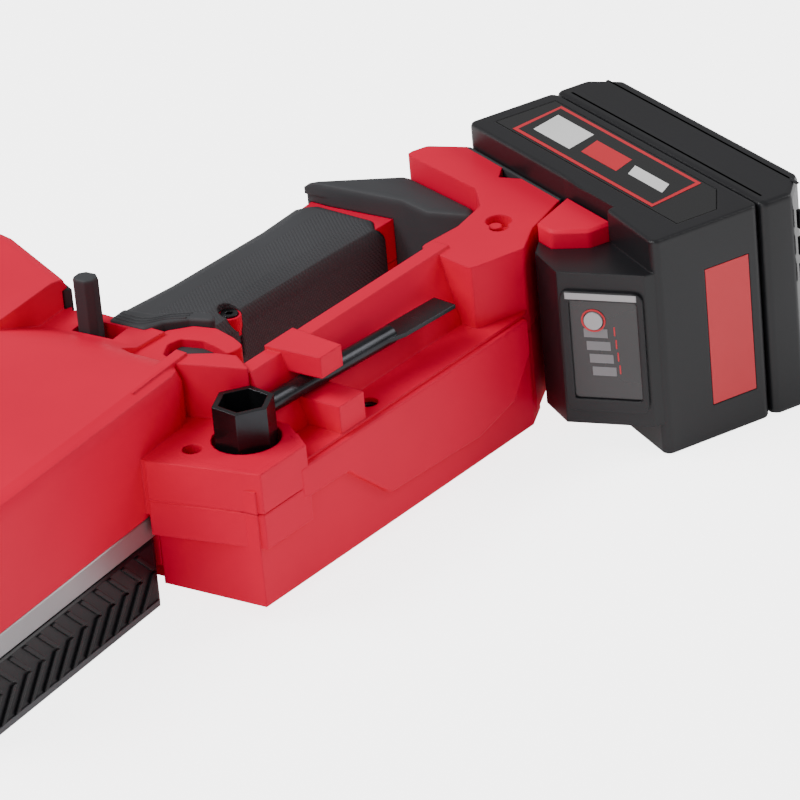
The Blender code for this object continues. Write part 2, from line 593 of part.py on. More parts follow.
for k, at in enumerate(STUDS):
    cut(case, circle(STUD_RADIUS + GAP, at, 16), BAR_FACE - 5 * MM, PLATE_TOP - 3 * MM, "stud_hole_%d" % k)
    plate(("rear_bar_stud", "front_bar_stud")[k], circle(STUD_RADIUS, at, 16), COVER_BOTTOM + 1.5 * MM,
          PLATE_TOP - 3.5 * MM, steel)

cover_in = [(BODY_REAR - 34 * MM, BODY_FLOOR + 6 * MM), (BODY_FRONT + 5 * MM, BODY_FLOOR + 6 * MM),
            (BODY_FRONT + 7 * MM, CASE_TOP_Y - 14 * MM), (BODY_REAR - 34 * MM, CASE_TOP_Y - 5 * MM)]
GUARD_TOP = PLATE_TOP + 3.6 * MM
gear_guard = plate("gear_cover", cover_in, PLATE_TOP + GAP, GUARD_TOP, cast)
cut(gear_guard, circle(5 * MM, MOTOR_AT), PLATE_TOP - MM, GUARD_TOP + MM, "shaft_hole")


def toothed(radius, module, teeth):
    """A plain gear outline with straight-sided teeth."""
    outline = []
    for k in range(teeth):
        for share, reach in ((-0.30, -1.15), (-0.14, 0.9), (0.14, 0.9), (0.30, -1.15)):
            a = 2 * pi * (k + share) / teeth
            r = radius + reach * module
            outline.append((r * cos(a), r * sin(a)))
    return outline


def gear(name, at, teeth, phase, bore, z0, z1, mat):
    outline = placed(toothed(GEAR_MODULE * teeth / 2, GEAR_MODULE, teeth), at, phase)
    obj = plate(name, outline, z0, z1, mat)
    cut(obj, circle(bore + GAP, at, 16), z0 - MM, z1 + MM, "bore")
    return obj


GEAR_Z = (CASE_FLOOR + 0.4 * MM, PLATE_TOP - 0.4 * MM)
towards = SPINDLE_BEARING
gear("drive_gear", SPINDLE, GEAR_TEETH, towards + 180, SPINDLE_RADIUS, *GEAR_Z, steel)
gear("motor_pinion", MOTOR_AT, PINION_TEETH, towards + 180 / PINION_TEETH, SHAFT_RADIUS, *GEAR_Z, steel)
plate("spindle", circle(SPINDLE_RADIUS, SPINDLE, 16), COVER_BOTTOM + 6 * MM, PLATE_TOP - 0.3 * MM, steel)


def ring(name, at, outer, inner, z0, z1, mat, steps=ROUND_STEPS):
    obj = plate(name, circle(outer, at, steps), z0, z1, mat)
    cut(obj, circle(inner, at, steps), z0 - MM, z1 + MM, "bore")
    return obj


ring("spindle_bearing", SPINDLE, 9 * MM, SPINDLE_RADIUS + GAP, PLATE_BOTTOM - 5.3 * MM, PLATE_BOTTOM - GAP, steel)
SPROCKET_Z = (CHAIN_PLANE - 4 * MM, CHAIN_PLANE + 4 * MM)
sprocket = plate("chain_sprocket", placed(toothed(SPROCKET_RADIUS - 2 * MM, 2 * MM, 8), SPINDLE),
                 *SPROCKET_Z, steel)
cut(sprocket, circle(SPINDLE_RADIUS + GAP, SPINDLE, 16), SPROCKET_Z[0] - MM, SPROCKET_Z[1] + MM, "bore")

STATOR_Z = (1.5 * MM, 22 * MM)
FAN_Z = (24 * MM, 29.5 * MM)
ring("motor_stator", MOTOR_AT, MOTOR_RADIUS, ROTOR_RADIUS + RUN, *STATOR_Z, copper, 32)
ring("motor_rotor", MOTOR_AT, ROTOR_RADIUS, SHAFT_RADIUS + GAP, STATOR_Z[0] - 0.5 * MM, STATOR_Z[1] + 0.5 * MM, steel)
plate("motor_shaft", circle(SHAFT_RADIUS, MOTOR_AT, 16), CASE_FLOOR + GAP, BODY_TOP - WALL - 0.5 * MM, steel)
fan = ring("cooling_fan", MOTOR_AT, 24 * MM, SHAFT_RADIUS + GAP, *FAN_Z, pack_black, 32)
for k in range(9):
    cut(fan, placed([(10 * MM, -2 * MM), (25 * MM, -3.4 * MM), (25 * MM, 3.4 * MM), (10 * MM, 1 * MM)],
                    MOTOR_AT, 40 * k), FAN_Z[0] + 1.5 * MM, FAN_Z[1] + MM, "blade_gap_%d" % k)
ring("front_motor_bearing", MOTOR_AT, 8 * MM, SHAFT_RADIUS + GAP, GUARD_TOP + GAP, 0.6 * MM, steel)
ring("rear_motor_bearing", MOTOR_AT, 6.5 * MM, SHAFT_RADIUS + GAP, FAN_Z[1] + 0.6 * MM,
     BODY_TOP - WALL - 0.4 * MM, steel)

# ---------------------------------------------------------------- bar and chain
BAR_NOSE = (BAR_TIP + BAR_HEIGHT / 2 + CHAIN_HEIGHT, SPINDLE[1])


def bar_loop(offset, slack=0.0):
    """The chain's path round the sprocket and the bar, moved out by an offset."""
    r, y = SPROCKET_RADIUS + slack + offset, SPINDLE[1]
    h = BAR_HEIGHT / 2 + offset
    x = BAR_TAIL - 16 * MM
    rear = [(SPINDLE[0] + r * cos(radians(a)), y + r * sin(radians(a))) for a in range(-90, 91, 20)]
    nose = [(BAR_NOSE[0] + h * cos(radians(a)), y + h * sin(radians(a))) for a in range(90, 271, 15)]
    return rear + [(x, y + h)] + nose + [(x, y - h)]


bar_points = [(BAR_TAIL, SPINDLE[1] + 13 * MM), (BAR_TAIL - 16 * MM, SPINDLE[1] + BAR_HEIGHT / 2)]
bar_points += [(BAR_NOSE[0] + BAR_HEIGHT / 2 * cos(radians(a)), SPINDLE[1] + BAR_HEIGHT / 2 * sin(radians(a)))
               for a in range(90, 271, 15)]
bar_points += [(BAR_TAIL - 16 * MM, SPINDLE[1] - BAR_HEIGHT / 2), (BAR_TAIL, SPINDLE[1] - 13 * MM)]
BAR_Z = (CHAIN_PLANE - BAR_THICK / 2, CHAIN_PLANE + BAR_THICK / 2)
BAR_TRAVEL = 2 * MM
bar = plate("guide_bar", bar_points, *BAR_Z, steel)
cut(bar, rounded(box_outline(STUDS[1][0] - STUD_RADIUS - GAP, STUDS[0][0] + STUD_RADIUS + GAP + BAR_TRAVEL,
                             SPINDLE[1] - STUD_RADIUS - GAP, SPINDLE[1] + STUD_RADIUS + GAP), 4 * MM),
    BAR_Z[0] - MM, BAR_Z[1] + MM, "stud_slot")
TENSION_AT = (STUDS[1][0] + 4 * MM, SPINDLE[1] - 17.2 * MM)
cut(bar, circle(2 * MM + GAP, TENSION_AT, 12), BAR_Z[0] - MM, BAR_Z[1] + MM, "pin_hole")
CHAIN_Z = (CHAIN_PLANE - CHAIN_THICK / 2, CHAIN_PLANE + CHAIN_THICK / 2)
chain = plate("saw_chain", bar_loop(CHAIN_HEIGHT, 2.4 * MM), *CHAIN_Z, dark_steel)
cut(chain, bar_loop(CHAIN_BAR_AIR, 2.4 * MM), CHAIN_Z[0] - MM, CHAIN_Z[1] + MM, "inside")

TENSION_Z = -22.2 * MM
pin = plate("tension_pin", circle(2 * MM, TENSION_AT, 12), BAR_Z[0] - 0.5 * MM, TENSION_Z, steel)
join(pin, box_outline(TENSION_AT[0] - 4 * MM, TENSION_AT[0] + 4 * MM, TENSION_AT[1] - 8 * MM, TENSION_AT[1] + 2.6 * MM),
     CHAIN_Z[1] + 0.4 * MM, PLATE_BOTTOM - 0.5 * MM, "nut")
SCREW_Y = TENSION_AT[1] - 4.5 * MM
screw_shaft = across("tension_screw", [(v, z + TENSION_Z + 0.2 * MM) for v, z in circle(2 * MM, (0, 0), 12)],
                     (BODY_FRONT - 4 * MM, SCREW_Y), 0, 34 * MM, dark_steel)
screw_head = across("tension_screw_head", [(v, z + TENSION_Z + 0.2 * MM) for v, z in circle(2.6 * MM, (0, 0), 12)],
                    (BODY_FRONT - 6 * MM, SCREW_Y), 0, 4 * MM, None, cutters)
change(screw_shaft, screw_head, "UNION")
cut(screw_shaft, box_outline(BODY_FRONT - 7 * MM, BODY_FRONT - 4.5 * MM, SCREW_Y - 5 * MM, SCREW_Y + 5 * MM),
    TENSION_Z - 0.5 * MM, TENSION_Z + 0.9 * MM, "slot")
screw_way = across("tension_screw_way", [(v, z + TENSION_Z + 0.2 * MM) for v, z in circle(2.4 * MM, (0, 0), 12)],
                   (TENSION_AT[0] - 8 * MM, SCREW_Y), 0, 20 * MM, None, cutters)
change(pin, screw_way, "DIFFERENCE")

# ---------------------------------------------------------------- sprocket cover and front trim
COVER_REAR = BODY_REAR - 29.5 * MM
cover_outline = rounded([(COVER_REAR, BODY_FLOOR - 0.5 * MM), (BODY_FRONT + 2 * MM, BODY_FLOOR - 0.5 * MM),
                         (BODY_FRONT - 10 * MM, BODY_FLOOR + 20 * MM), (BODY_FRONT - 10 * MM, CASE_TOP_Y - 30 * MM),
                         (BODY_FRONT + 14 * MM, CASE_TOP_Y - 6 * MM), (COVER_REAR, CASE_TOP_Y - 6 * MM)], 4 * MM, 2)
cover_hollow = [(COVER_REAR - WALL, BODY_FLOOR + WALL), (BODY_FRONT - 60 * MM, BODY_FLOOR + 9 * MM),
                (BODY_FRONT - 60 * MM, CASE_TOP_Y - 22 * MM), (BODY_FRONT + 15 * MM, CASE_TOP_Y - 9 * MM),
                (COVER_REAR - WALL, CASE_TOP_Y - 9 * MM)]
cover = plate("sprocket_cover", cover_outline, COVER_BOTTOM, PLATE_BOTTOM - GAP, cover_black)
ease(cover, 0.8 * MM)
cut(cover, cover_hollow, COVER_BOTTOM + WALL, PLATE_BOTTOM + MM, "hollow")
join(cover, rounded(box_outline(STUDS[1][0] - 12 * MM, STUDS[0][0] + 10 * MM, SPINDLE[1] - 12 * MM,
                                SPINDLE[1] + 12 * MM), 5 * MM), COVER_BOTTOM + MM, BAR_Z[0] - GAP, "clamp_pad")
for k, at in enumerate(STUDS):
    cut(cover, circle(STUD_RADIUS + RUN, at, 16), COVER_BOTTOM - MM, BAR_Z[0] + MM, "stud_hole_%d" % k)
    cut(cover, circle(NUT_FLATS / 2 / cos(pi / 6) + MM, at, 20), COVER_BOTTOM - MM, COVER_BOTTOM + 7.5 * MM,
        "nut_room_%d" % k)
    nut = plate(("rear_bar_nut", "front_bar_nut")[k], hexagon(NUT_FLATS, at), COVER_BOTTOM + 0.5 * MM,
                COVER_BOTTOM + 7 * MM, steel)
    cut(nut, circle(STUD_RADIUS + GAP, at, 16), COVER_BOTTOM - MM, COVER_BOTTOM + 8 * MM, "thread")

spikes = plate("bucking_spikes", in_mm((-244, 58), (-262, 62), (-275, 57), (-268, 72), (-280, 74), (-270, 86),
                                       (-282, 92), (-271, 101), (-281, 110), (-268, 116), (-274, 128), (-258, 126),
                                       (-254, 118), (-254, 66)), PLATE_BOTTOM - GAP - 2.5 * MM, PLATE_BOTTOM - GAP,
               steel)
cut(cover, in_mm((-242, 56), (-290, 50), (-290, 132), (-250, 132), (-250, 66)), PLATE_BOTTOM - 3.4 * MM,
    PLATE_BOTTOM + MM, "spike_room")
cut(spikes, box_outline(BODY_FRONT - 9 * MM, BODY_FRONT + MM, SCREW_Y - 3.4 * MM, SCREW_Y + 3.4 * MM), -30 * MM, 0,
    "screw_notch")
for k, y in enumerate((68 * MM, 112 * MM)):
    at = (-259 * MM, y)
    cut(spikes, circle(1.9 * MM, at, 10), -40 * MM, 0, "hole_%d" % k)
    cut(case, circle(1.9 * MM, at, 10), PLATE_BOTTOM - MM, PLATE_TOP - 2 * MM, "spike_hole_%d" % k)
    rivet = plate("spike_screw_%d" % (k + 1), circle(3 * MM, at, 12), PLATE_BOTTOM - 5 * MM,
                  PLATE_BOTTOM - 3.1 * MM, dark_steel)
    join(rivet, circle(1.6 * MM, at, 8), PLATE_BOTTOM - 3.5 * MM, PLATE_TOP - 3 * MM, "shank")
cut(cover, in_mm((-266, 62), (-252, 62), (-252, 118), (-266, 118)), PLATE_BOTTOM - 6 * MM, PLATE_BOTTOM, "head_room")
catcher = plate("chain_catcher", rounded(in_mm((-241, 59.5), (-232, 59.5), (-232, 66), (-241, 66)), 2 * MM),
                CHAIN_Z[0], PLATE_BOTTOM - GAP - 0.3 * MM, cast)

# ---------------------------------------------------------------- oil system and board
tank = plate("oil_tank", rounded(box_outline(*TANK), 6 * MM), 0, 30 * MM, tank_white)
cut(tank, rounded(box_outline(TANK[0] + 2 * MM, TANK[1] - 2 * MM, TANK[2] + 2 * MM, TANK[3] - 2 * MM), 4 * MM),
    2 * MM, 28 * MM, "inside")
cut(tank, circle(10 * MM, OIL_NECK), 20 * MM, 32 * MM, "neck")
cap = plate("oil_cap", circle(15 * MM, OIL_NECK, 24), BODY_TOP - 3.5 * MM, BODY_TOP + 4 * MM, pack_black)
ease(cap, 1 * MM)
join(cap, circle(9 * MM, OIL_NECK, 20), 24 * MM, BODY_TOP - 2 * MM, "plug")
pump = plate("oil_pump", rounded(box_outline(-200 * MM, -180 * MM, 60 * MM, 74 * MM), 3 * MM), GUARD_TOP + GAP,
             8 * MM, pack_black)
board = plate("control_board", placed(box_outline(BOARD_U[0], BOARD_U[1], 6 * MM, 31 * MM), BEAM_START, BEAM_TILT),
              -20 * MM, -18 * MM, board_green)
join(board, placed(box_outline(BOARD_U[0] + 8 * MM, BOARD_U[0] + 60 * MM, 10 * MM, 27 * MM), BEAM_START, BEAM_TILT),
     -19 * MM, -9 * MM, "heat_sink")
terminals = plate("terminal_block", pack_outline(box_outline(*TERMINAL_X, *TERMINAL_Y)), -RAIL_HALF, RAIL_HALF,
                  pack_black)
for k in range(4):
    z = (-13.5 + 9 * k) * MM
    cut(terminals, pack_outline(box_outline(TERMINAL_X[1] - 4 * MM, TERMINAL_X[1] + MM, 30 * MM, 76 * MM)),
        z - 1.2 * MM, z + 1.2 * MM, "slit_%d" % k)

# ---------------------------------------------------------------- wrench
rod_tilt = BEAM_TILT + ROD_TILT
wrench = plate("bar_wrench", hexagon(SOCKET_FLATS, WRENCH, radians(rod_tilt + 30)), SOCKET_BOTTOM, SOCKET_TOP,
               dark_steel)
rod_profile = [(v, z + ROD_HEIGHT) for v, z in circle(ROD_RADIUS, (0, 0), 14)]
rod = across("wrench_rod", rod_profile, placed([(SOCKET_FLATS / 2 - 0.8 * MM, 0)], WRENCH, rod_tilt)[0], rod_tilt,
             ROD_REACH - BLADE_LENGTH, None, cutters)
change(wrench, rod, "UNION")
blade_start = placed([(ROD_REACH - BLADE_LENGTH, 0)], WRENCH, rod_tilt)[0]
join(wrench, placed([(0, -ROD_RADIUS * 0.7), (12 * MM, -5.2 * MM), (BLADE_LENGTH + 9 * MM, -5.2 * MM),
                     (BLADE_LENGTH + 9 * MM, 5.2 * MM), (12 * MM, 5.2 * MM), (0, ROD_RADIUS * 0.7)],
                    blade_start, rod_tilt), ROD_HEIGHT - 0.8 * MM, ROD_HEIGHT + 0.8 * MM, "blade")
cut(wrench, hexagon(SOCKET_BORE, WRENCH, radians(rod_tilt + 30)), SOCKET_TOP - 12 * MM, SOCKET_TOP + MM, "bore")

# ---------------------------------------------------------------- battery
NOSE_HALF = 31 * MM
SHELL_END = 104 * MM
case_points = rounded([(PACK_SEAT, 93 * MM), (PACK_SEAT, 28 * MM), (56 * MM, PACK_LOW), (SHELL_END, PACK_LOW),
                       (SHELL_END, 93 * MM)], 2 * MM, 1)
pack = plate("battery_case", pack_outline(case_points), -PACK_HALF, PACK_HALF, pack_black)
ease(pack, 3 * MM, 2)
nose_points = in_mm((73, 32.3), (64.7, 28.7), (44, 15), (34, 4), (31, -14), (53, -39), (58.4, -39.8), (73, -37.3))
join(pack, pack_outline(nose_points), -NOSE_HALF, NOSE_HALF, "nose")
join(pack, pack_outline(box_outline(TERMINAL_X[1] + RUN, PACK_SEAT + 2 * MM, 30 * MM, 86 * MM)),
     -RAIL_HALF + 2 * MM, RAIL_HALF - 2 * MM, "rail")
cut(pack, pack_outline(box_outline(70 * MM, SHELL_END + MM, -35 * MM, 87 * MM)), -PACK_HALF + 5 * MM,
    PACK_HALF - 5 * MM, "cell_room")
base = plate("battery_base", pack_outline(rounded([
    (SHELL_END + GAP, PACK_LOW - 1 * MM), (PACK_SEAT + PACK_DEPTH - 12 * MM, PACK_LOW - 1 * MM),
    (PACK_SEAT + PACK_DEPTH, PACK_LOW + 12 * MM), (PACK_SEAT + PACK_DEPTH, 84 * MM),
    (PACK_SEAT + PACK_DEPTH - 10 * MM, 94 * MM), (SHELL_END + GAP, 94 * MM)], 3 * MM, 2)),
    -PACK_HALF, PACK_HALF, pack_black)
ease(base, 4 * MM, 2)
cells = plate("cell_block", pack_outline(rounded(box_outline(71 * MM, SHELL_END - MM, -34 * MM, 86 * MM), 6 * MM)),
              -PACK_HALF + 6 * MM, PACK_HALF - 6 * MM, label_grey)
LATCH = [(41 * MM, 13 * MM), (41 * MM, 3 * MM), (52 * MM, -6 * MM), (62.5 * MM, -6 * MM), (62.5 * MM, 24 * MM)]
LATCH_TRAVEL = 3 * MM
LATCH_SPRING_AT = pack_point(53 * MM, 5 * MM)
for side, name in ((1, "left_latch_button"), (-1, "right_latch_button")):
    inner, outer = 27 * MM, BUTTON_RISE
    z = sorted((side * inner, side * outer))
    button = plate(name, pack_outline(LATCH), *z, red)
    ease(button, 1.2 * MM, 1)
    grown = [(40.4 * MM, 13.4 * MM), (40.4 * MM, 2.7 * MM), (51.8 * MM, -6.6 * MM), (63.2 * MM, -6.6 * MM),
             (63.2 * MM, 25 * MM)]
    z = sorted((side * (inner - LATCH_TRAVEL - RUN), side * (PACK_HALF + MM)))
    cut(pack, pack_outline(grown), *z, name + "_room")
    z = sorted((side * 15 * MM, side * inner))
    cut(pack, circle(4 * MM, LATCH_SPRING_AT, 12), *z, name + "_spring_room")
    spring(name.replace("button", "spring"), (*LATCH_SPRING_AT, side * 15.8 * MM), (0, 0, side), 10.4 * MM,
           3 * MM, 0.7 * MM, 4, steel)

FACE_A, FACE_B = Vector(pack_point(31 * MM, -14 * MM)), Vector(pack_point(53 * MM, -39 * MM))
face_dir = (FACE_B - FACE_A).normalized()
face_out = Vector((face_dir.y, -face_dir.x))
if face_out.dot(Vector(pack_point(-1, -1))) < 0:
    face_out = -face_out


def on_face(along, out):
    p = FACE_A + face_dir * along + face_out * out
    return (p.x, p.y)


lens = plate("gauge_lens", [on_face(4 * MM, -1.2 * MM), on_face(30 * MM, -1.2 * MM), on_face(30 * MM, 0.4 * MM),
                            on_face(4 * MM, 0.4 * MM)], -20 * MM, 20 * MM, lens_dark)
cut(pack, [on_face(4 * MM - GAP, -1.2 * MM - GAP), on_face(30 * MM + GAP, -1.2 * MM - GAP),
           on_face(30 * MM + GAP, 3 * MM), on_face(4 * MM - GAP, 3 * MM)], -20 * MM - GAP, 20 * MM + GAP, "lens_room")
BUTTON_ALONG, BUTTON_Z, BUTTON_RADIUS = 13 * MM, 12 * MM, 3.6 * MM
face_angle = degrees(atan2(face_out.y, face_out.x))


def button_profile(radius):
    return circle(radius, (0, BUTTON_Z), 16)


button_start = on_face(BUTTON_ALONG, -4 * MM)
gauge_button = across("gauge_button", button_profile(BUTTON_RADIUS), button_start, face_angle,
                      5.2 * MM, label_grey)
button_way = across("gauge_button_way", button_profile(BUTTON_RADIUS + GAP), on_face(BUTTON_ALONG, -6 * MM),
                    face_angle, 12 * MM, None, cutters)
change(lens, button_way, "DIFFERENCE")
change(pack, button_way, "DIFFERENCE")

SIDE_LABEL = in_mm((72, 86), (100, 86), (100, -20), (90, -34), (72, -34))
cut(pack, pack_outline(SIDE_LABEL), PACK_HALF - 0.7 * MM, PACK_HALF + MM, "side_label_room")
side_label = plate("side_label", pack_outline(in_mm((72.4, 85.6), (99.6, 85.6), (99.6, -19.8), (89.8, -33.6),
                                                    (72.4, -33.6))), PACK_HALF - 0.4 * MM, PACK_HALF - 0.05 * MM,
                   label_grey)
cut(pack, pack_outline(box_outline(78 * MM, 98 * MM, PACK_LOW - MM, PACK_LOW + 0.7 * MM)), -30 * MM, 26 * MM,
    "end_label_room")
end_label = plate("end_label", pack_outline(box_outline(78.3 * MM, 97.7 * MM, PACK_LOW + 0.05 * MM,
                                                        PACK_LOW + 0.4 * MM)), -29.7 * MM, 25.7 * MM, label_grey)

# ---------------------------------------------------------------- joints
def hang(joint, names, x, y, z=0.0):
    """Give pieces that move together a parent on their joint's axis."""
    axis = bpy.data.objects.new(joint, None)
    axis.location = (x, y, z)
    axis.parent = root
    parts.objects.link(axis)
    for name in names:
        obj = parts.objects[name]
        obj.parent = axis
        obj.location = (-x, -y, -z)


hang("trigger_axis", ["trigger", "trigger_spring"], *TRIGGER_PIVOT)
hang("lever_axis", ["lock_off_lever", "lever_spring"], *PEG_AT, PEG_FACE)
hang("spindle_axis", ["drive_gear", "spindle", "chain_sprocket"], *SPINDLE, CHAIN_PLANE)
hang("rotor_axis", ["motor_rotor", "motor_shaft", "cooling_fan", "motor_pinion"], *MOTOR_AT, PLATE_TOP)
hang("cap_axis", ["oil_cap"], *OIL_NECK, BODY_TOP)
hang("rear_nut_axis", ["rear_bar_nut"], *STUDS[0], COVER_BOTTOM)
hang("front_nut_axis", ["front_bar_nut"], *STUDS[1], COVER_BOTTOM)
hang("bar_axis", ["guide_bar", "saw_chain", "tension_pin"], *TENSION_AT, CHAIN_PLANE)
hang("tension_axis", ["tension_screw"], BODY_FRONT, SCREW_Y, TENSION_Z + 0.2 * MM)
hang("wrench_axis", ["bar_wrench"], *WRENCH, ROD_HEIGHT)
hang("battery_axis", ["battery_case", "battery_base", "cell_block", "gauge_lens", "side_label", "end_label"],
     *pack_point(PACK_SEAT, 0))
hang("left_latch_axis", ["left_latch_button", "left_latch_spring"], *LATCH_SPRING_AT, 27 * MM)
hang("right_latch_axis", ["right_latch_button", "right_latch_spring"], *LATCH_SPRING_AT, -27 * MM)
hang("gauge_button_axis", ["gauge_button"], *button_start, BUTTON_Z)

# the saw's origin is the middle of the underside of its outline box
bpy.context.view_layer.update()
seen = bpy.context.evaluated_depsgraph_get()
corners = [obj.matrix_world @ Vector(c) for obj in parts.objects if obj.type == "MESH"
           for c in obj.evaluated_get(seen).bound_box]
low = [min(c[k] for c in corners) for k in range(3)]
high = [max(c[k] for c in corners) for k in range(3)]
root.location = (-(low[0] + high[0]) / 2, -(low[1] + high[1]) / 2, -low[2])
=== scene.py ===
# %% [markdown]
# # A battery pruning saw, lying on its right side
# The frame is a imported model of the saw: every piece of it is already in place
# and knows which joint it moves with.  This script gives each piece its finish
# and adds the small shapes that a maker would mould, print or stamp on it.
# %% Load the frame and keep its box
import json
from math import atan2, cos, pi, radians, sin
import bmesh
import bpy
from mathutils import Matrix, Vector


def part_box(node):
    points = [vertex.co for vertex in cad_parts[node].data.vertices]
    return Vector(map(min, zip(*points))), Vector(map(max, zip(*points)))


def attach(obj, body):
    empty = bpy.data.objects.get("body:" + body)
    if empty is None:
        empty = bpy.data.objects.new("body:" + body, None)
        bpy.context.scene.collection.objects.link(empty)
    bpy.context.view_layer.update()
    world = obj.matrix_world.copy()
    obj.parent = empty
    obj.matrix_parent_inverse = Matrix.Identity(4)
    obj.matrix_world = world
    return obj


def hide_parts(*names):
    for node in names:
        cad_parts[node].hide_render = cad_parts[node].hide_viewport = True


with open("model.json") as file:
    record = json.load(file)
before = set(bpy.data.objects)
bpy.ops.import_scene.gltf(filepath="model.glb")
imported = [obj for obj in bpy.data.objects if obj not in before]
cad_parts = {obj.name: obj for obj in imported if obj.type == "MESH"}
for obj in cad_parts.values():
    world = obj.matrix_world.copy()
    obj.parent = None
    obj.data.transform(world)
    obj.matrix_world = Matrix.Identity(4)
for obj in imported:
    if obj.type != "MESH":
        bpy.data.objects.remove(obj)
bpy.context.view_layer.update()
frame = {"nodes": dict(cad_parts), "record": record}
BODY_OF = {node: body for body, nodes in frame["record"]["behaviour"]["bodies"].items() for node in nodes}
SLOT_OF = {entry["node"]: entry["material_slot"] for entry in frame["record"]["subparts"]}

# %% [markdown]
# Sizes below are in millimetres on the maker's drawing.  Its zero is under the
# beam, 84 mm behind the trigger's pivot, so the pivot pin tells where the
# drawing sits in the frame.  Three slanted parts have axes of their own: the
# beam, the grip and the battery.
# %% From the drawing to the frame
MM = 0.001
BEAM_TILT, GRIP_TILT, PACK_TILT = -5.8, -6.0, -25.0  # degrees
PIN_LOW, PIN_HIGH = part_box("trigger_pin")
DRAWING = (PIN_LOW + PIN_HIGH) / 2 - Vector((-84, 95, 0)) * MM


def at(x, y, z=0.0):
    """A point of the drawing, in metres in the frame."""
    return DRAWING + Vector((x, y, z)) * MM


def turned(x, y, degrees):
    a = radians(degrees)
    return x * cos(a) - y * sin(a), x * sin(a) + y * cos(a)


def on_beam(u, v):
    x, y = turned(u, v, BEAM_TILT)
    return x - 132, y + 7


def on_grip(u, v):
    x, y = turned(u, v, GRIP_TILT)
    return x - 2, y + 96


def on_pack(x, y):
    return turned(x, y, PACK_TILT)


print("drawing's zero", tuple(round(c, 4) for c in DRAWING))

# %% [markdown]
# Shader maths reads best as Python sums.  A wire is one output of a node, and
# adding or multiplying wires adds the Math nodes that do it.  Any other node
# comes from one method.
# %% A wire that does sums
class Wire:
    def __init__(self, tree, socket=None):
        self.tree, self.socket = tree, socket

    def node(self, kind, settings=None, inputs=None, out=0):
        """Adds a node; settings are set first, and then its sockets get values or wires."""
        made = self.tree.nodes.new(kind)
        for name, value in (settings or {}).items():
            if name == "stops":
                ramp = made.color_ramp
                for k, (place, color) in enumerate(value):
                    stop = ramp.elements[k] if k < 2 else ramp.elements.new(place)
                    stop.position = place
                    stop.color = (*color, 1.0)
            else:
                setattr(made, name, value)
        for name, value in (inputs or {}).items():
            if isinstance(value, Wire):
                self.tree.links.new(value.socket, made.inputs[name])
            else:
                made.inputs[name].default_value = value
        return Wire(self.tree, made.outputs[out])

    def maths(self, operation, *values):
        return self.node("ShaderNodeMath", {"operation": operation}, dict(enumerate(values)))

    def __add__(self, other):
        return self.maths("ADD", self, other)

    def __radd__(self, other):
        return self.maths("ADD", other, self)

    def __sub__(self, other):
        return self.maths("SUBTRACT", self, other)

    def __rsub__(self, other):
        return self.maths("SUBTRACT", other, self)

    def __mul__(self, other):
        return self.maths("MULTIPLY", self, other)

    def __rmul__(self, other):
        return self.maths("MULTIPLY", other, self)

    def __gt__(self, other):
        return self.maths("GREATER_THAN", self, other)

    def __lt__(self, other):
        return self.maths("LESS_THAN", self, other)

    def sine(self):
        return self.maths("SINE", self)

    def size(self):
        return self.maths("ABSOLUTE", self)


# %% [markdown]
# A moulded or machined surface is never one flat colour.  Each finish here
# starts from the same recipe: a slow cloud that shifts colour and gloss a
# little, a fine grain as bump, and soft edges, because a real mould or a file
# leaves a small round on every corner.
# %% The recipe for a finish
def finish(name, color, rough, metal=0.0, cloud=0.12, cloud_scale=18.0, grain=0.12, grain_scale=1400.0,
           rough_swing=0.10, edge=0.6, worn=0.0, height=None, coat=0.0, stretch=None, tint=None, shine=0.5):
    mat = bpy.data.materials.new(name)
    mat.use_nodes = True
    tree = mat.node_tree
    shader = tree.nodes["Principled BSDF"]
    start = Wire(tree)
    place = start.node("ShaderNodeTexCoord", out="Object")
    spots = place
    if stretch:
        spots = start.node("ShaderNodeMapping", inputs={"Vector": place, "Scale": stretch})
    slow = start.node("ShaderNodeTexNoise", inputs={"Vector": place, "Scale": cloud_scale, "Detail": 3.0})
    fine = start.node("ShaderNodeTexNoise", inputs={"Vector": spots, "Scale": grain_scale, "Detail": 2.0})
    dark = [c * (1 - cloud) for c in color]
    light = [min(1.0, c * (1 + cloud)) for c in color]
    shade = start.node("ShaderNodeValToRGB", {"stops": [(0.3, dark), (0.7, light)]}, {0: slow})
    gloss = slow * rough_swing + (rough - rough_swing / 2)
    rounded = start.node("ShaderNodeBevel", {"samples": 4}, {"Radius": edge * MM})
    if worn:
        flat = start.node("ShaderNodeNewGeometry", out="Normal")
        bent = start.node("ShaderNodeVectorMath", {"operation": "DOT_PRODUCT"}, {0: rounded, 1: flat},
                          out="Value")
        rub = ((1 - bent) * 6.0 * slow).maths("MINIMUM", (1 - bent) * 6.0 * slow, 1.0) * worn
        bright = [min(1.0, c * 1.6 + 0.05) for c in color]
        shade = start.node("ShaderNodeMix", {"data_type": "RGBA"}, {0: rub, 6: shade, 7: (*bright, 1.0)},
                           out=2)
    if tint:
        shade = tint(start, place, shade)
    tree.links.new(shade.socket, shader.inputs["Base Color"])
    tree.links.new(gloss.socket, shader.inputs["Roughness"])
    lift = fine
    depth = 0.05
    if height:
        lift = fine * 0.12 + height(start, place)
        depth = 0.35
    strength = 0.9 if height else grain
    bump = start.node("ShaderNodeBump", inputs={"Strength": strength, "Distance": depth * MM, "Height": lift,
                                                "Normal": rounded})
    tree.links.new(bump.socket, shader.inputs["Normal"])
    shader.inputs["Metallic"].default_value = metal
    shader.inputs["Coat Weight"].default_value = coat
    shader.inputs["Coat Roughness"].default_value = 0.2
    shader.inputs["Specular IOR Level"].default_value = shine
    return mat


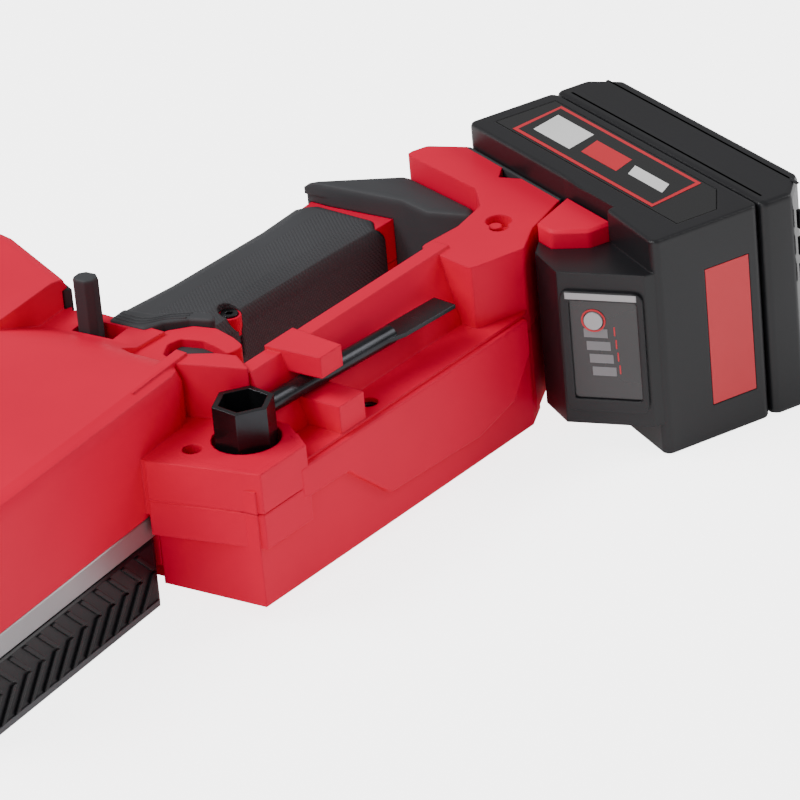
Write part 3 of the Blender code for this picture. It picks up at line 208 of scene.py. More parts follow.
# %% [markdown]
# The grip's rubber has a skin of small scales, about two millimetres long,
# which two sets of crossing waves draw well.  The waves run along the grip and
# round it: across the top the second direction is Y, and down the sides it is
# Z, so their difference goes round the corner without a break.
# %% Scales on the grip and lines on the windings
GRIP_TURN = radians(GRIP_TILT)


def parts_of(start, place):
    split = start.node("ShaderNodeSeparateXYZ", inputs={0: place})
    node = split.socket.node
    return [Wire(start.tree, node.outputs[k]) for k in range(3)]


def grip_scales(start, place):
    x, y, z = parts_of(start, place)
    along = x * cos(GRIP_TURN) + y * sin(GRIP_TURN)
    round_it = y * cos(GRIP_TURN) - x * sin(GRIP_TURN) - z
    first = ((along + round_it * 0.8) * 1900.0).sine()
    second = ((along - round_it * 0.8) * 1900.0).sine()
    band = (round_it - SMOOTH_BAND).size() > 0.0075
    return (first * second).size() * 0.55 * band + (1 - band) * 0.5


def winding_lines(start, place):
    x, y, z = parts_of(start, place)
    return ((x + y) * 5200.0).sine() * 0.4 + 0.5


# the smooth band runs along the top of the grip, a little above its middle line
band_point = at(*on_grip(0, 13), 20)
SMOOTH_BAND = (band_point.y * cos(GRIP_TURN) - band_point.x * sin(GRIP_TURN)) - band_point.z

# %% [markdown]
# The finishes: bright red glass-filled nylon with a satin moulded skin, soft
# grey rubber, spark-textured black plastic, and several metals.  Steel that
# was ground shows its lines as grain stretched in one direction.  It is darker
# than real ground steel, so the bar stands out from the bright floor.
# %% The saw's finishes
FINISH = {
    "red_nylon": finish("red nylon", (0.74, 0.0, 0.040), 0.46, cloud=0.04, grain=0.16, grain_scale=1700.0,
                        edge=0.9, rough_swing=0.07, worn=0.05, shine=0.12),
    "grip_rubber": finish("grip rubber", (0.035, 0.036, 0.040), 0.66, cloud=0.15, grain=0.5,
                          grain_scale=900.0, edge=1.0),
    "battery_black": finish("battery black", (0.010, 0.010, 0.012), 0.34, shine=0.4, cloud=0.15, grain=0.35,
                            grain_scale=1500.0, edge=0.9, rough_swing=0.08),
    "cover_black": finish("cover black", (0.007, 0.007, 0.009), 0.36, shine=0.3, cloud=0.15, grain=0.3,
                          grain_scale=1200.0, edge=0.7),
    "steel": finish("ground steel", (0.20, 0.20, 0.21), 0.38, 1.0, cloud=0.08, grain=0.35,
                    grain_scale=900.0, edge=0.3, stretch=(0.06, 1.0, 1.0)),
    "black_oxide": finish("black oxide", (0.035, 0.036, 0.040), 0.26, 0.85, cloud=0.25, cloud_scale=60.0,
                          grain=0.2, grain_scale=1600.0, edge=0.5, worn=0.35),
    "cast_alloy": finish("cast alloy", (0.36, 0.36, 0.37), 0.42, 0.8, cloud=0.10, grain=0.3,
                         grain_scale=700.0, edge=0.5, stretch=(0.15, 1.0, 1.0)),
    "copper_winding": finish("copper winding", (0.62, 0.27, 0.11), 0.35, 1.0, height=winding_lines),
    "smoked_lens": finish("smoked lens", (0.022, 0.022, 0.024), 0.12, cloud=0.2, grain=0.02, edge=0.3,
                          rough_swing=0.04, coat=0.5),
    "circuit_board": finish("circuit board", (0.02, 0.12, 0.05), 0.45, cloud=0.3, cloud_scale=200.0),
    "tank_white": finish("tank white", (0.75, 0.74, 0.70), 0.5, cloud=0.05),
    "label_silver": finish("label silver", (0.42, 0.42, 0.43), 0.35, cloud=0.06, grain=0.1),
}
GRIP_SKIN = finish("scaled grip rubber", (0.035, 0.036, 0.040), 0.60, cloud=0.15, edge=1.2,
                   height=grip_scales)
LABEL_RED = finish("printed red", (0.62, 0.015, 0.03), 0.32, cloud=0.05, grain=0.05, edge=0.1)
LABEL_WHITE = finish("printed white", (0.80, 0.80, 0.80), 0.35, cloud=0.04, grain=0.05, edge=0.1)
LABEL_BLACK = finish("printed black", (0.010, 0.010, 0.011), 0.25, cloud=0.1, grain=0.05, edge=0.1)
LABEL_GREY = finish("printed grey", (0.20, 0.20, 0.21), 0.35, cloud=0.08, grain=0.05, edge=0.1)
# The cover's lower edge is a plain strip of lighter grey than the black cover, with no rubbing or wear added.
EDGE_GREY = finish("lighter grey cover edge", (0.085, 0.083, 0.092), 0.42, cloud=0.15, grain=0.3, edge=0.3)
print("finishes", len(bpy.data.materials))

# %% [markdown]
# A node of the frame is loose triangles, which shade as facets.  A copy with
# its doubles merged and its flat areas joined can be shaded smooth: edges
# sharper than a limit stay crisp, and a Weighted Normal modifier keeps large
# flat faces flat where they run into a round.
# %% Smooth copies of the frame's nodes
def smooth(obj, limit=34):
    work = bmesh.new()
    work.from_mesh(obj.data)
    for face in work.faces:
        face.smooth = True
    for edge in work.edges:
        edge.smooth = len(edge.link_faces) == 2 and edge.calc_face_angle(0.0) < radians(limit)
    work.to_mesh(obj.data)
    work.free()
    step = obj.modifiers.new("flat areas lead", "WEIGHTED_NORMAL")
    step.keep_sharp = True
    step.weight = 80
    return obj


def dress(obj, mat, body):
    """Gives a piece its finish and the body that it moves with."""
    obj.data.materials.clear()
    obj.data.materials.append(mat)
    for face in obj.data.polygons:
        face.material_index = 0
    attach(obj, body)
    return obj


def merged(node):
    """A free copy of a node's mesh, with doubles merged and flat areas joined."""
    work = bmesh.new()
    work.from_mesh(frame["nodes"][node].data)
    bmesh.ops.remove_doubles(work, verts=work.verts, dist=2e-6)
    bmesh.ops.dissolve_limit(work, angle_limit=radians(0.4), verts=work.verts, edges=work.edges)
    mesh = bpy.data.meshes.new(node + "_shown")
    work.to_mesh(mesh)
    work.free()
    obj = bpy.data.objects.new(node + "_shown", mesh)
    bpy.context.scene.collection.objects.link(obj)
    return obj


def settled(obj):
    """The object with its modifiers worked into its mesh."""
    seen = obj.evaluated_get(bpy.context.evaluated_depsgraph_get())
    mesh = bpy.data.meshes.new_from_object(seen)
    obj.modifiers.clear()
    old = obj.data
    obj.data = mesh
    bpy.data.meshes.remove(old)
    return obj


def carve(obj, tools, operation="DIFFERENCE"):
    """Cuts tools out of a piece, then removes them."""
    for tool in tools:
        step = obj.modifiers.new("cut", "BOOLEAN")
        step.operation = operation
        step.object = tool
        step.solver = "EXACT"
    settled(obj)
    for tool in tools:
        bpy.data.objects.remove(tool)
    return obj


# %% [markdown]
# Most added pieces are flat shapes with a thickness: a label, a rim, a tab.
# One helper draws an outline in any plane and gives it depth, and another
# rounds its edges.
# %% Solid shapes from outlines
def link(name, mesh):
    obj = bpy.data.objects.new(name, mesh)
    bpy.context.scene.collection.objects.link(obj)
    return obj


def prism(name, outline, low, high, frame_of=None):
    """An outline between two heights; frame_of turns (a, b, height) into a point of the frame."""
    frame_of = frame_of or at
    work = bmesh.new()
    lower = [work.verts.new(frame_of(a, b, low)) for a, b in outline]
    upper = [work.verts.new(frame_of(a, b, high)) for a, b in outline]
    work.faces.new(lower[::-1])
    work.faces.new(upper)
    count = len(outline)
    for k in range(count):
        work.faces.new((lower[k], lower[(k + 1) % count], upper[(k + 1) % count], upper[k]))
    bmesh.ops.recalc_face_normals(work, faces=work.faces)
    mesh = bpy.data.meshes.new(name)
    work.to_mesh(mesh)
    work.free()
    return link(name, mesh)


def rounded_edges(obj, width, segments=2, angle=30):
    step = obj.modifiers.new("round", "BEVEL")
    step.width = width * MM
    step.segments = segments
    step.limit_method = "ANGLE"
    step.angle_limit = radians(angle)
    settled(obj)
    return smooth(obj, 50)


def rounded(points, radius, steps=5):
    """The outline with every corner rounded off."""
    result = []
    count = len(points)
    for i in range(count):
        before, here, after = (Vector(points[(i + k) % count]) for k in (-1, 0, 1))
        one, two = before - here, after - here
        half = one.angle(two) / 2
        run = min(radius / (sin(half) / cos(half)), 0.45 * one.length, 0.45 * two.length)
        start, end = here + one.normalized() * run, here + two.normalized() * run
        for k in range(steps + 1):
            t = k / steps
            point = start * (1 - t) ** 2 + here * 2 * t * (1 - t) + end * t * t
            result.append((point.x, point.y))
    return result


def disc(x, y, radius, steps=32):
    angles = [2 * pi * k / steps for k in range(steps)]
    return [(x + radius * cos(a), y + radius * sin(a)) for a in angles]


def pack_plan(points):
    return [on_pack(*p) for p in points]


def tube(name, points, radius, resolution=3):
    """A round bar through points of the drawing, made a mesh."""
    curve = bpy.data.curves.new(name, "CURVE")
    curve.dimensions = "3D"
    curve.bevel_depth = radius * MM
    curve.bevel_resolution = resolution
    curve.use_fill_caps = True
    curve.resolution_u = 8
    spline = curve.splines.new("BEZIER")
    spline.bezier_points.add(len(points) - 1)
    for knot, point in zip(spline.bezier_points, points):
        knot.co = at(*point)
        knot.handle_left_type = knot.handle_right_type = "AUTO"
    source = link(name + "_path", curve)
    bpy.context.view_layer.update()
    mesh = bpy.data.meshes.new_from_object(source.evaluated_get(bpy.context.evaluated_depsgraph_get()))
    bpy.data.objects.remove(source)
    obj = link(name, mesh)
    return smooth(obj, 60)


# %% [markdown]
# The left half of the housing carries most of what one sees.  Its shape comes
# from the frame; the holes and recesses that the mould leaves round the foot
# of the handle are cut into the copy here.
# %% The left half of the housing, with its recesses
left = merged("left_housing")
arrow_notch = prism("arrow", pack_plan([(57, 62), (62.5, 55), (62.5, 68)]), 30, 36)
round_hole = prism("round_hole", disc(45.5, 12.5, 5.0), 29, 36)
carve(left, [round_hole, arrow_notch])
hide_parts("left_housing")
dress(smooth(left), FINISH["red_nylon"], "saw")
crescent = prism("foot_hole_pin", disc(44.2, 13.4, 2.6), 29.2, 32.5)
dress(rounded_edges(crescent, 0.4), FINISH["red_nylon"], "saw")
print("left half", len(left.data.polygons), "faces")

# %% [markdown]
# Every other node that keeps its shape gets a smooth copy with the finish of
# its material slot.  The left half is made above, and the chain further down.
# %% Smooth copies of the rest
MADE_ELSEWHERE = ("left_housing", "saw_chain")
for node in sorted(set(BODY_OF) - set(MADE_ELSEWHERE)):
    shown = merged(node)
    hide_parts(node)
    mat = FINISH[SLOT_OF[node]]
    if node == "grip_rubber":
        mat = GRIP_SKIN
    if node == "side_label":
        mat = LABEL_BLACK
    if node == "end_label":
        mat = LABEL_RED
    limit = 40 if "rubber" in node or "collar" in node else 34
    dress(smooth(shown, limit), mat, BODY_OF[node])

# %% [markdown]
# Below the socket block the side of the housing steps out by two millimetres,
# in a band that drops in the middle of the beam: it stiffens the mould and
# covers the seam between the halves.  It is a flat outline drawn on the
# beam's side, given a thickness and rounded edges.
# %% The stepped band on the beam's side
def on_side(u, z, out):
    x, y = on_beam(u, -out)
    return at(x, y, z)


band_outline = [(23, -4.4), (49, -5), (71, -24), (124, -26), (146, -21), (157, -6), (157, 7.9), (23, 7.9)]
band = prism("side_band", band_outline, -1.0, 2.2, on_side)
dress(rounded_edges(band, 0.9), FINISH["red_nylon"], "saw")
block_outline = [(-138.2, 49.4), (-130.75, 4.75), (-104.9, 2.25), (-98.5, 10), (-101.5, 12.0), (-105.8, 4.9),
                 (-129, 7.2), (-131.9, 49.4)]
for name, low, top in (("block_skirt", -14, -0.12), ("block_shell", 0.12, 16.06)):
    shell = prism(name, block_outline, low, top)
    dress(rounded_edges(shell, 0.45), FINISH["red_nylon"], "saw")
print("side band and skirt made")

# %% [markdown]
# Round the trigger the housing swells into a red rim, so a finger slides in
# without catching an edge.  A pocket in the left rim leaves room for the
# lever's spring.  Above it a rubber strip with three fine raised lines guides
# the thumb to the lock-off lever.
# %% Trigger rim and thumb strip
guard_plan = [(-93, 71), (-82, 71), (-78.5, 80.5), (-71, 83.5), (-65.5, 81.5), (-63.5, 73), (-66, 65),
              (-69, 58), (-61, 57.2), (-57, 64), (-53.3, 74), (-55, 83), (-62, 90.2), (-74, 92.5),
              (-88, 94), (-95, 84)]
spring_plan = [(-77, 82), (-69, 82), (-69, 97), (-77, 97)]
for name, low, top in (("trigger_guard_left", 10.2, 23.6), ("trigger_guard_right", -23.6, -10.2)):
    guard = prism(name, rounded(guard_plan, 3, 4), low, top)
    if low > 0:
        carve(guard, [prism("spring_room", spring_plan, 9, 18.2)])
    dress(rounded_edges(guard, 2.2, 4, 50), FINISH["red_nylon"], "saw")
well_plan = [(-75, 83), (-65, 82.5), (-63, 73), (-66, 60), (-86, 60), (-86, 80)]
liner = prism("trigger_well", well_plan, 10.4, 20.6)
dress(rounded_edges(liner, 1.5, 3, 50), FINISH["grip_rubber"], "saw")
strip_plan = [(-67, 112.5), (-57, 112.5), (-56, 100), (-50.5, 91), (-46.5, 80), (-51.5, 75), (-54.5, 85),
              (-60.5, 92.5), (-67.5, 96)]
strip = prism("thumb_strip", rounded(strip_plan, 2, 3), 15, 25.9)
dress(rounded_edges(strip, 1.2, 3, 50), FINISH["grip_rubber"], "saw")
for k in range(3):
    o = 2.1 * k
    path = [(x + o, y, 25.8) for x, y in ((-64.8, 110.5), (-64.4, 99.5), (-58.2, 93.0), (-54.2, 86.5))]
    raised = tube("strip_line_%d" % k, path, 0.5, 2)
    dress(raised, FINISH["grip_rubber"], "saw")
cup = prism("screw_cup", disc(-31, 84, 4.45), 9, 16.8)
carve(cup, [prism("cup_bore", disc(-31, 84, 3.4), 13.6, 22)])
dress(rounded_edges(cup, 0.3), FINISH["red_nylon"], "saw")

# %% [markdown]
# The pack's lid is a wide label with a red border and blank bars where a maker
# prints a name and a capacity; the bars stay blank on purpose.  Each print is
# a film a tenth of a millimetre thick.
# %% Labels on the pack
def film(name, outline, z, mat, body="battery"):
    made = prism(name, outline, z, z + 0.12)
    return dress(made, mat, body)


def slanted(x0, x1, y0, y1, lean=4.0):
    return pack_plan([(x0, y0), (x1, y0 + lean), (x1, y1 + lean), (x0, y1)])


film("label_border", slanted(73.5, 98.6, -16, 76), 43.98, LABEL_RED)
film("label_inside", slanted(75, 97.1, -14.3, 74.3), 44.02, LABEL_BLACK)
film("label_bar_1", slanted(79, 93, 46, 70), 44.10, LABEL_WHITE)
film("label_bar_2", slanted(81, 91, 18, 41), 44.10, LABEL_RED)
film("label_bar_3", slanted(83, 89, -9, 13), 44.10, LABEL_WHITE)


def on_end(x, z, out):
    px, py = on_pack(x, -41 - out)
    return at(px, py, z)


def tag(name, x0, x1, z0, z1, out, mat):
    made = prism(name, [(x0, z0), (x1, z0), (x1, z1), (x0, z1)], out, out + 0.12, on_end)
    return dress(made, mat, "battery")


tag("end_tag_box", 79.5, 96.5, 2, 22, -0.42, LABEL_WHITE)
tag("end_tag_inner", 81.5, 94.5, 4, 20, -0.36, LABEL_RED)
tag("end_tag_bar", 82, 90, -24, -4, -0.42, LABEL_WHITE)

# %% [markdown]
# The fuel gauge sits in a raised bezel on the pack's nose: a smoked window,
# four bars that light up one by one, and a round button.  The window's plane
# is slanted, so the shapes are drawn in its own axes: along, across and out.
# %% The fuel gauge
NOSE_A, NOSE_B = Vector(on_pack(31, -14)), Vector(on_pack(53, -39))
ALONG = (NOSE_B - NOSE_A).normalized()
OUTWARD = Vector((ALONG.y, -ALONG.x))
if OUTWARD.dot(Vector(on_pack(-1, -1))) < 0:
    OUTWARD = -OUTWARD


def on_gauge(along, z, out):
    p = NOSE_A + ALONG * along + OUTWARD * out
    return at(p.x, p.y, z)


def gauge_piece(name, outline, low, high, mat):
    made = prism(name, outline, low, high, on_gauge)
    return dress(made, mat, "battery")


def box2(a0, a1, b0, b1):
    return [(a0, b0), (a1, b0), (a1, b1), (a0, b1)]


bezel = prism("gauge_bezel", rounded(box2(0.8, 32.2, -25, 24), 4), -0.6, 1.5, on_gauge)
carve(bezel, [prism("bezel_bore", rounded(box2(4.2, 29.8, -20.2, 20.2), 1.5), -3, 3, on_gauge)])
dress(rounded_edges(bezel, 0.6), FINISH["battery_black"], "battery")
for k in range(4):
    bar_plan = box2(9 + 0.8 * k, 18 + 0.8 * k, 5 - 5.2 * k, 8.6 - 5.2 * k)
    gauge_piece("gauge_bar_%d" % k, bar_plan, 0.35, 0.5, LABEL_GREY)
    line_plan = box2(20.4 + 0.4 * k, 20.9 + 0.4 * k, 6.0 - 5.2 * k, 9.6 - 5.2 * k)
    gauge_piece("gauge_line_%d" % k, line_plan, 0.35, 0.48, LABEL_RED)
ring = prism("gauge_ring", disc(13, 12, 4.6), 0.3, 0.75, on_gauge)
carve(ring, [prism("ring_bore", disc(13, 12, 3.95), -1, 2, on_gauge)])
dress(ring, LABEL_RED, "battery")
speckle = prism("gauge_strip", box2(3, 30, 20.8, 23.4), 1.3, 1.62, on_gauge)
dress(speckle, FINISH["label_silver"], "battery")

# %% [markdown]
# Ribs on the sprocket cover stiffen it and shed chips.  They repeat at one
# step along a line, which is a job for Geometry Nodes: a Mesh Line gives the
# places, one rib is instanced on each, and Realize Instances turns them into
# plain mesh at the end.
# %% A Geometry Nodes tree that repeats a shape along a line
def line_tree():
    tree = bpy.data.node_groups.new("repeat along a line", "GeometryNodeTree")
    face = tree.interface
    face.new_socket("Geometry", in_out="OUTPUT", socket_type="NodeSocketGeometry")
    sockets = {}
    for name, kind in (("Shape", "NodeSocketObject"), ("Count", "NodeSocketInt"),
                       ("First", "NodeSocketVector"), ("Step", "NodeSocketVector"),
                       ("Finish", "NodeSocketMaterial")):
        sockets[name] = face.new_socket(name, in_out="INPUT", socket_type=kind).identifier
    nodes, links = tree.nodes, tree.links
    inside = nodes.new("NodeGroupInput")
    outside = nodes.new("NodeGroupOutput")
    line = nodes.new("GeometryNodeMeshLine")
    line.mode = "OFFSET"
    shape = nodes.new("GeometryNodeObjectInfo")
    instance = nodes.new("GeometryNodeInstanceOnPoints")
    real = nodes.new("GeometryNodeRealizeInstances")
    paint = nodes.new("GeometryNodeSetMaterial")
    links.new(inside.outputs["Count"], line.inputs["Count"])
    links.new(inside.outputs["First"], line.inputs["Start Location"])
    links.new(inside.outputs["Step"], line.inputs["Offset"])
    links.new(inside.outputs["Shape"], shape.inputs["Object"])
    links.new(line.outputs["Mesh"], instance.inputs["Points"])
    links.new(shape.outputs["Geometry"], instance.inputs["Instance"])
    links.new(instance.outputs["Instances"], real.inputs["Geometry"])
    links.new(real.outputs["Geometry"], paint.inputs["Geometry"])
    links.new(inside.outputs["Finish"], paint.inputs["Material"])
    links.new(paint.outputs["Geometry"], outside.inputs["Geometry"])
    return tree, sockets


LINE_TREE, LINE_INPUTS = line_tree()


def repeated(name, shape, count, first, step, mat, body):
    """Copies of a shape along a line, as one plain mesh."""
    obj = link(name, bpy.data.meshes.new(name))
    modifier = obj.modifiers.new("repeat", "NODES")
    modifier.node_group = LINE_TREE
    for key, value in (("Shape", shape), ("Count", count), ("First", first), ("Step", step), ("Finish", mat)):
        modifier[LINE_INPUTS[key]] = value
    bpy.context.view_layer.update()
    settled(obj)
    bpy.data.objects.remove(shape)
    return dress(obj, mat, body)


# %% [markdown]
# The cover's side shows two rows of slanted ribs that lean towards each
# other, like the tread of a tyre, over a plain lighter edge.
# %% Ribs on the sprocket cover
def on_cover(x, z, out):
    return at(x, 50.5 - out, z)


low_plan = [(-252, -40.5), (-249.6, -40.5), (-240.6, -29.2), (-243, -29.2)]
high_plan = [(-243, -27.8), (-240.6, -27.8), (-249.6, -18.5), (-252, -18.5)]
RIB_STEP = (8.6 * MM, 0, 0)
for height, plan in (("low", low_plan), ("high", high_plan)):
    rib = prism(height + "_rib", plan, -0.4, 0.9, on_cover)
    repeated("cover_ribs_" + height, rib, 13, (0, 0, 0), RIB_STEP, FINISH["cover_black"], "saw")
edge = prism("cover_edge", [(-249, -43.4), (-137, -43.4), (-137, -41.0), (-249, -41.0)], -0.4, 0.5, on_cover)
dress(edge, EDGE_GREY, "saw")

# %% [markdown]
# The thumb rest behind the hump has parallel bars of rubber, and the battery's
# far bumper has a row of lugs at its corner and two ridges along its lid.
# %% Bars on the hump's pad and on the pack's bumper
pad_bar = tube("pad_bar", [(-62.5, 136.5, 31.4), (-53, 153.5, 31.4), (-43, 172, 31.4)], 0.9, 2)
pad_step = (2.2 * MM, -1.2 * MM, 0)
repeated("pad_bars", pad_bar, 2, (0, 0, 0), pad_step, FINISH["grip_rubber"], "saw")
lug = prism("bumper_lug", rounded(pack_plan(box2(121.5, 129.4, -41.4, -38.6)), 0.7, 2), 6, 13)
lug_step = (0, 0, 11 * MM)
repeated("bumper_lugs", lug, 3, (0, 0, 0), lug_step, FINISH["battery_black"], "battery")
for k, x in enumerate((108.0, 124.5)):
    ridge = prism("bumper_ridge_%d" % k, pack_plan(box2(x, x + 1.4, -36, 88)), 43.4, 44.0)
    dress(rounded_edges(ridge, 0.25), FINISH["battery_black"], "battery")

# %% [markdown]
# A saw chain is a row of links round the bar.  The tree walks along the loop
# and picks one of two links by the place's number: every third place gets a
# cutter and the others a plain tie, each with its drive link below.
# %% The chain's links
def chain_tree():
    tree = bpy.data.node_groups.new("links along a loop", "GeometryNodeTree")
    face = tree.interface
    face.new_socket("Geometry", in_out="OUTPUT", socket_type="NodeSocketGeometry")
    sockets = {}
    for name, kind in (("Path", "NodeSocketObject"), ("Cutter", "NodeSocketObject"),
                       ("Tie", "NodeSocketObject"), ("Count", "NodeSocketInt"),
                       ("Finish", "NodeSocketMaterial")):
        sockets[name] = face.new_socket(name, in_out="INPUT", socket_type=kind).identifier
    nodes, links = tree.nodes, tree.links
    inside = nodes.new("NodeGroupInput")
    outside = nodes.new("NodeGroupOutput")
    path = nodes.new("GeometryNodeObjectInfo")
    path.transform_space = "RELATIVE"
    points = nodes.new("GeometryNodeCurveToPoints")
    points.mode = "COUNT"
    order = nodes.new("GeometryNodeInputIndex")
    turn = nodes.new("FunctionNodeIntegerMath")
    turn.operation = "MODULO"
    turn.inputs[1].default_value = 3
    even = nodes.new("FunctionNodeCompare")
    even.data_type = "INT"
    even.operation = "EQUAL"
    flip = nodes.new("FunctionNodeBooleanMath")
    flip.operation = "NOT"
    both = nodes.new("GeometryNodeJoinGeometry")
    real = nodes.new("GeometryNodeRealizeInstances")
    paint = nodes.new("GeometryNodeSetMaterial")
    links.new(inside.outputs["Path"], path.inputs["Object"])
    links.new(path.outputs["Geometry"], points.inputs["Curve"])
    links.new(inside.outputs["Count"], points.inputs["Count"])
    links.new(order.outputs[0], turn.inputs[0])
    links.new(turn.outputs[0], even.inputs[2])
    links.new(even.outputs[0], flip.inputs[0])
    for name, choice in (("Cutter", even), ("Tie", flip)):
        shape = nodes.new("GeometryNodeObjectInfo")
        instance = nodes.new("GeometryNodeInstanceOnPoints")
        links.new(inside.outputs[name], shape.inputs["Object"])
        links.new(points.outputs["Points"], instance.inputs["Points"])
        links.new(points.outputs["Rotation"], instance.inputs["Rotation"])
        links.new(shape.outputs["Geometry"], instance.inputs["Instance"])
        links.new(choice.outputs[0], instance.inputs["Selection"])
        links.new(instance.outputs["Instances"], both.inputs["Geometry"])
    links.new(both.outputs["Geometry"], real.inputs["Geometry"])
    links.new(real.outputs["Geometry"], paint.inputs["Geometry"])
    links.new(inside.outputs["Finish"], paint.inputs["Material"])
    links.new(paint.outputs["Geometry"], outside.inputs["Geometry"])
    return tree, sockets


CHAIN_LINKS = 78
LINK_RISE = 5.0 * MM       # from the loop that the links follow out to the chain's edge
SPROCKET_TO_BAR = 36 * MM  # where the loop leaves the sprocket for the bar
CHAIN_LOW, CHAIN_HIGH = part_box("saw_chain")
SPINDLE_LOW, SPINDLE_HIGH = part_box("spindle")
loop_y = (CHAIN_LOW.y + CHAIN_HIGH.y) / 2
loop_z = (CHAIN_LOW.z + CHAIN_HIGH.z) / 2
half_loop = (CHAIN_HIGH.y - CHAIN_LOW.y) / 2 - LINK_RISE
nose_x = CHAIN_LOW.x + half_loop + LINK_RISE
tail_x = (SPINDLE_LOW.x + SPINDLE_HIGH.x) / 2
tail_r = CHAIN_HIGH.x - tail_x - LINK_RISE
loop = []
for k in range(13):
    a = radians(-90 + 15 * k)
    loop.append((tail_x + tail_r * cos(a), loop_y + tail_r * sin(a)))
loop.append((tail_x - SPROCKET_TO_BAR, loop_y + half_loop))
for k in range(25):
    a = radians(90 + 7.5 * k)
    loop.append((nose_x + half_loop * cos(a), loop_y + half_loop * sin(a)))
loop.append((tail_x - SPROCKET_TO_BAR, loop_y - half_loop))
loop_curve = bpy.data.curves.new("chain_loop", "CURVE")
loop_curve.dimensions = "3D"
loop_spline = loop_curve.splines.new("POLY")
loop_spline.points.add(len(loop) - 1)
for knot, (x, y) in zip(loop_spline.points, loop):
    knot.co = (x, y, loop_z, 1.0)
loop_spline.use_cyclic_u = True
loop_path = link("chain_loop", loop_curve)
print("loop points", len(loop))

# %% [markdown]
# A cutter is a side plate with a raised tooth and a depth gauge ahead of it; a
# tie is the plain pair of plates between.  Both are drawn lying along X, with
# Z across the chain, and the tree turns them to the loop's direction.
# %% Cutter, tie and the finished chain
def link_piece(name, pieces):
    work = bmesh.new()
    for outline, low, high in pieces:
        lower = [work.verts.new(Vector((a, b, low)) * MM) for a, b in outline]
        upper = [work.verts.new(Vector((a, b, high)) * MM) for a, b in outline]
        work.faces.new(lower[::-1])
        work.faces.new(upper)
        for k in range(len(outline)):
            n = (k + 1) % len(outline)
            work.faces.new((lower[k], lower[n], upper[n], upper[k]))
    bmesh.ops.recalc_face_normals(work, faces=work.faces)
    mesh = bpy.data.meshes.new(name)
    work.to_mesh(mesh)
    work.free()
    return link(name, mesh)


plate_shape = [(-5.4, -1.8), (-3.8, -2.6), (3.8, -2.6), (5.4, -1.8), (5.4, 0.6), (3.8, 1.6), (-3.8, 1.6),
               (-5.4, 0.6)]
tooth = [(-4.8, 0.6), (4.8, 0.6), (4.8, 1.8), (3.6, 3.2), (2.2, 1.7), (0.8, 1.7), (-0.6, 4.2), (-4.8, 3.7)]
drive_shape = [(-2.6, -1.0), (2.6, -1.0), (1.2, -4.2), (-0.8, -4.4)]
top_blade = [(-4.8, 3.4), (-0.6, 3.9), (-0.6, 4.4), (-4.8, 3.9)]
two_plates = [(plate_shape, 0.75, 2.0), (plate_shape, -2.0, -0.75)]
drive = (drive_shape, -0.65, 0.65)
cutter = link_piece("cutter", two_plates + [(tooth, 1.0, 2.6), drive, (top_blade, -1.6, 2.6)])
tie = link_piece("tie", two_plates + [drive])
CHAIN_TREE, CHAIN_INPUTS = chain_tree()
chain = link("saw_chain_links", bpy.data.meshes.new("saw_chain_links"))
walk = chain.modifiers.new("links", "NODES")
walk.node_group = CHAIN_TREE
for key, value in (("Path", loop_path), ("Cutter", cutter), ("Tie", tie), ("Count", CHAIN_LINKS),
                   ("Finish", FINISH["black_oxide"])):
    walk[CHAIN_INPUTS[key]] = value
bpy.context.view_layer.update()
settled(chain)
for scrap in (loop_path, cutter, tie):
    bpy.data.objects.remove(scrap)
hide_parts("saw_chain")
dress(chain, FINISH["black_oxide"], "bar")
print("chain faces", len(chain.data.polygons))

# %% [markdown]
# The rivet heads on the bar's upper side are shallow discs: two rows along
# the bar and a ring round the nose.
# %% Rivets on the bar
BAR_LOW, BAR_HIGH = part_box("guide_bar")
bar_nose_x = (BAR_LOW.x + half_loop - DRAWING.x) / MM
bar_y = (loop_y - DRAWING.y) / MM
bar_top = (BAR_HIGH.z - DRAWING.z) / MM
RIVET_STEP = (38 * MM, 0, 0)
for row, offset in (("high", 10), ("low", -10)):
    rivet = prism("rivet", disc(-420, bar_y + offset, 2.2, 16), bar_top - 0.2, bar_top + 0.35)
    repeated("bar_rivets_" + row, rivet, 5, (0, 0, 0), RIVET_STEP, FINISH["steel"], "bar")
for k in range(6):
    a = radians(60 * k)
    plan = disc(bar_nose_x + 7 * cos(a), bar_y + 7 * sin(a), 1.4, 14)
    head = prism("nose_rivet_%d" % k, plan, bar_top - 0.2, bar_top + 0.3)
    dress(head, FINISH["steel"], "bar")

# %% [markdown]
# The oil cap has a raised bar that a finger and thumb can turn.
# %% Oil cap grip
cap_x, cap_y = -226, 94
wing = prism("cap_wing", rounded(box2(cap_x - 11, cap_x + 11, cap_y - 2.2, cap_y + 2.2), 2), 41.6, 45.4)
dress(rounded_edges(wing, 0.7), FINISH["battery_black"], "oil_cap")

# %% [markdown]
# A thin black gasket seals the battery's seat, and shows as a line between
# the red foot and the pack.
# %% The seat's gasket
gasket = prism("seat_gasket", pack_plan(box2(62.4, 63.6, 29.5, 91.5)), -34.2, 34.25)
dress(rounded_edges(gasket, 0.2), FINISH["grip_rubber"], "saw")

# %% [markdown]
# The floor is plain and pale.  It glows to the camera far more than to the
# saw, so the background is almost white but throws little light back up, and
# contact shadows are mostly lost.  The lights are large and soft: a strong one
# high behind, and a weak one on each side.
# %% Floor and lights
GLOW_TO_CAMERA, GLOW_TO_ALL = 3.5, 0.35


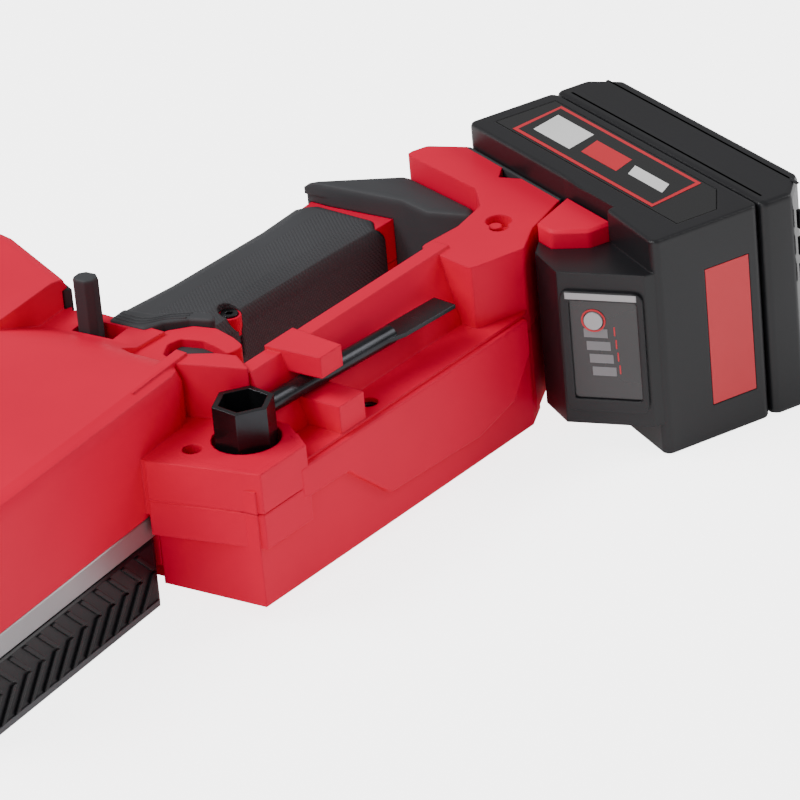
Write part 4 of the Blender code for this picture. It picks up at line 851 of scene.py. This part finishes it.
def pale(name, color, rough):
    mat = bpy.data.materials.new(name)
    mat.use_nodes = True
    tree = mat.node_tree
    start = Wire(tree)
    slow = start.node("ShaderNodeTexNoise", inputs={"Scale": 3.0})
    stops = [(0.3, [c * 0.985 for c in color]), (0.7, color)]
    shade = start.node("ShaderNodeValToRGB", {"stops": stops}, {0: slow})
    shader = tree.nodes["Principled BSDF"]
    tree.links.new(shade.socket, shader.inputs["Base Color"])
    shader.inputs["Roughness"].default_value = rough
    shader.inputs["Emission Color"].default_value = (1.0, 1.0, 1.0, 1.0)
    seen = start.node("ShaderNodeLightPath")
    glow = seen * GLOW_TO_CAMERA + GLOW_TO_ALL
    tree.links.new(glow.socket, shader.inputs["Emission Strength"])
    return mat


floor_mesh = bpy.data.meshes.new("floor")
floor_mesh.from_pydata([(-6, -6, 0), (6, -6, 0), (6, 6, 0), (-6, 6, 0)], [], [(0, 1, 2, 3)])
floor = link("floor", floor_mesh)
floor.data.materials.append(pale("pale floor", (0.93, 0.93, 0.93), 0.9))

world = bpy.data.worlds.new("soft studio")
bpy.context.scene.world = world
world.use_nodes = True
world.node_tree.nodes["Background"].inputs["Color"].default_value = (1.0, 1.0, 1.0, 1.0)
world.node_tree.nodes["Background"].inputs["Strength"].default_value = 0.36


def soft_light(name, place, aim, size, power):
    data = bpy.data.lights.new(name, "AREA")
    data.shape = "RECTANGLE"
    data.size = size[0]
    data.size_y = size[1]
    data.energy = power
    lamp = bpy.data.objects.new(name, data)
    bpy.context.scene.collection.objects.link(lamp)
    lamp.location = place
    lamp.rotation_euler = (Vector(aim) - Vector(place)).to_track_quat("-Z", "Y").to_euler()
    return lamp


soft_light("key", (-0.6, 1.0, 1.7), (0.1, 0, 0), (1.4, 0.9), 38)
soft_light("left_side", (-1.6, -0.2, 0.9), (0.1, 0, 0), (0.8, 1.2), 9)
soft_light("right_side", (1.1, -0.9, 0.9), (0.1, 0, 0), (0.6, 1.0), 9)

# %% [markdown]
# The camera looks at the handle end from the lower left with a long lens and
# leans a little to one side, so the grip runs up to the right.
# %% Camera
camera_data = bpy.data.cameras.new("view")
camera_data.lens = 270
camera_data.sensor_width = 36
camera_data.clip_end = 20
camera = bpy.data.objects.new("view", camera_data)
bpy.context.scene.collection.objects.link(camera)
forward = Vector((0.732, 0.505, -0.458)).normalized()
side = forward.cross(Vector((0.4285, 0.183, 0.885))).normalized()
upward = side.cross(forward)
turn = Matrix((side, upward, -forward)).transposed().to_4x4()
turn.translation = at(-1629, -1091, 996)
camera.matrix_world = turn
bpy.context.scene.camera = camera
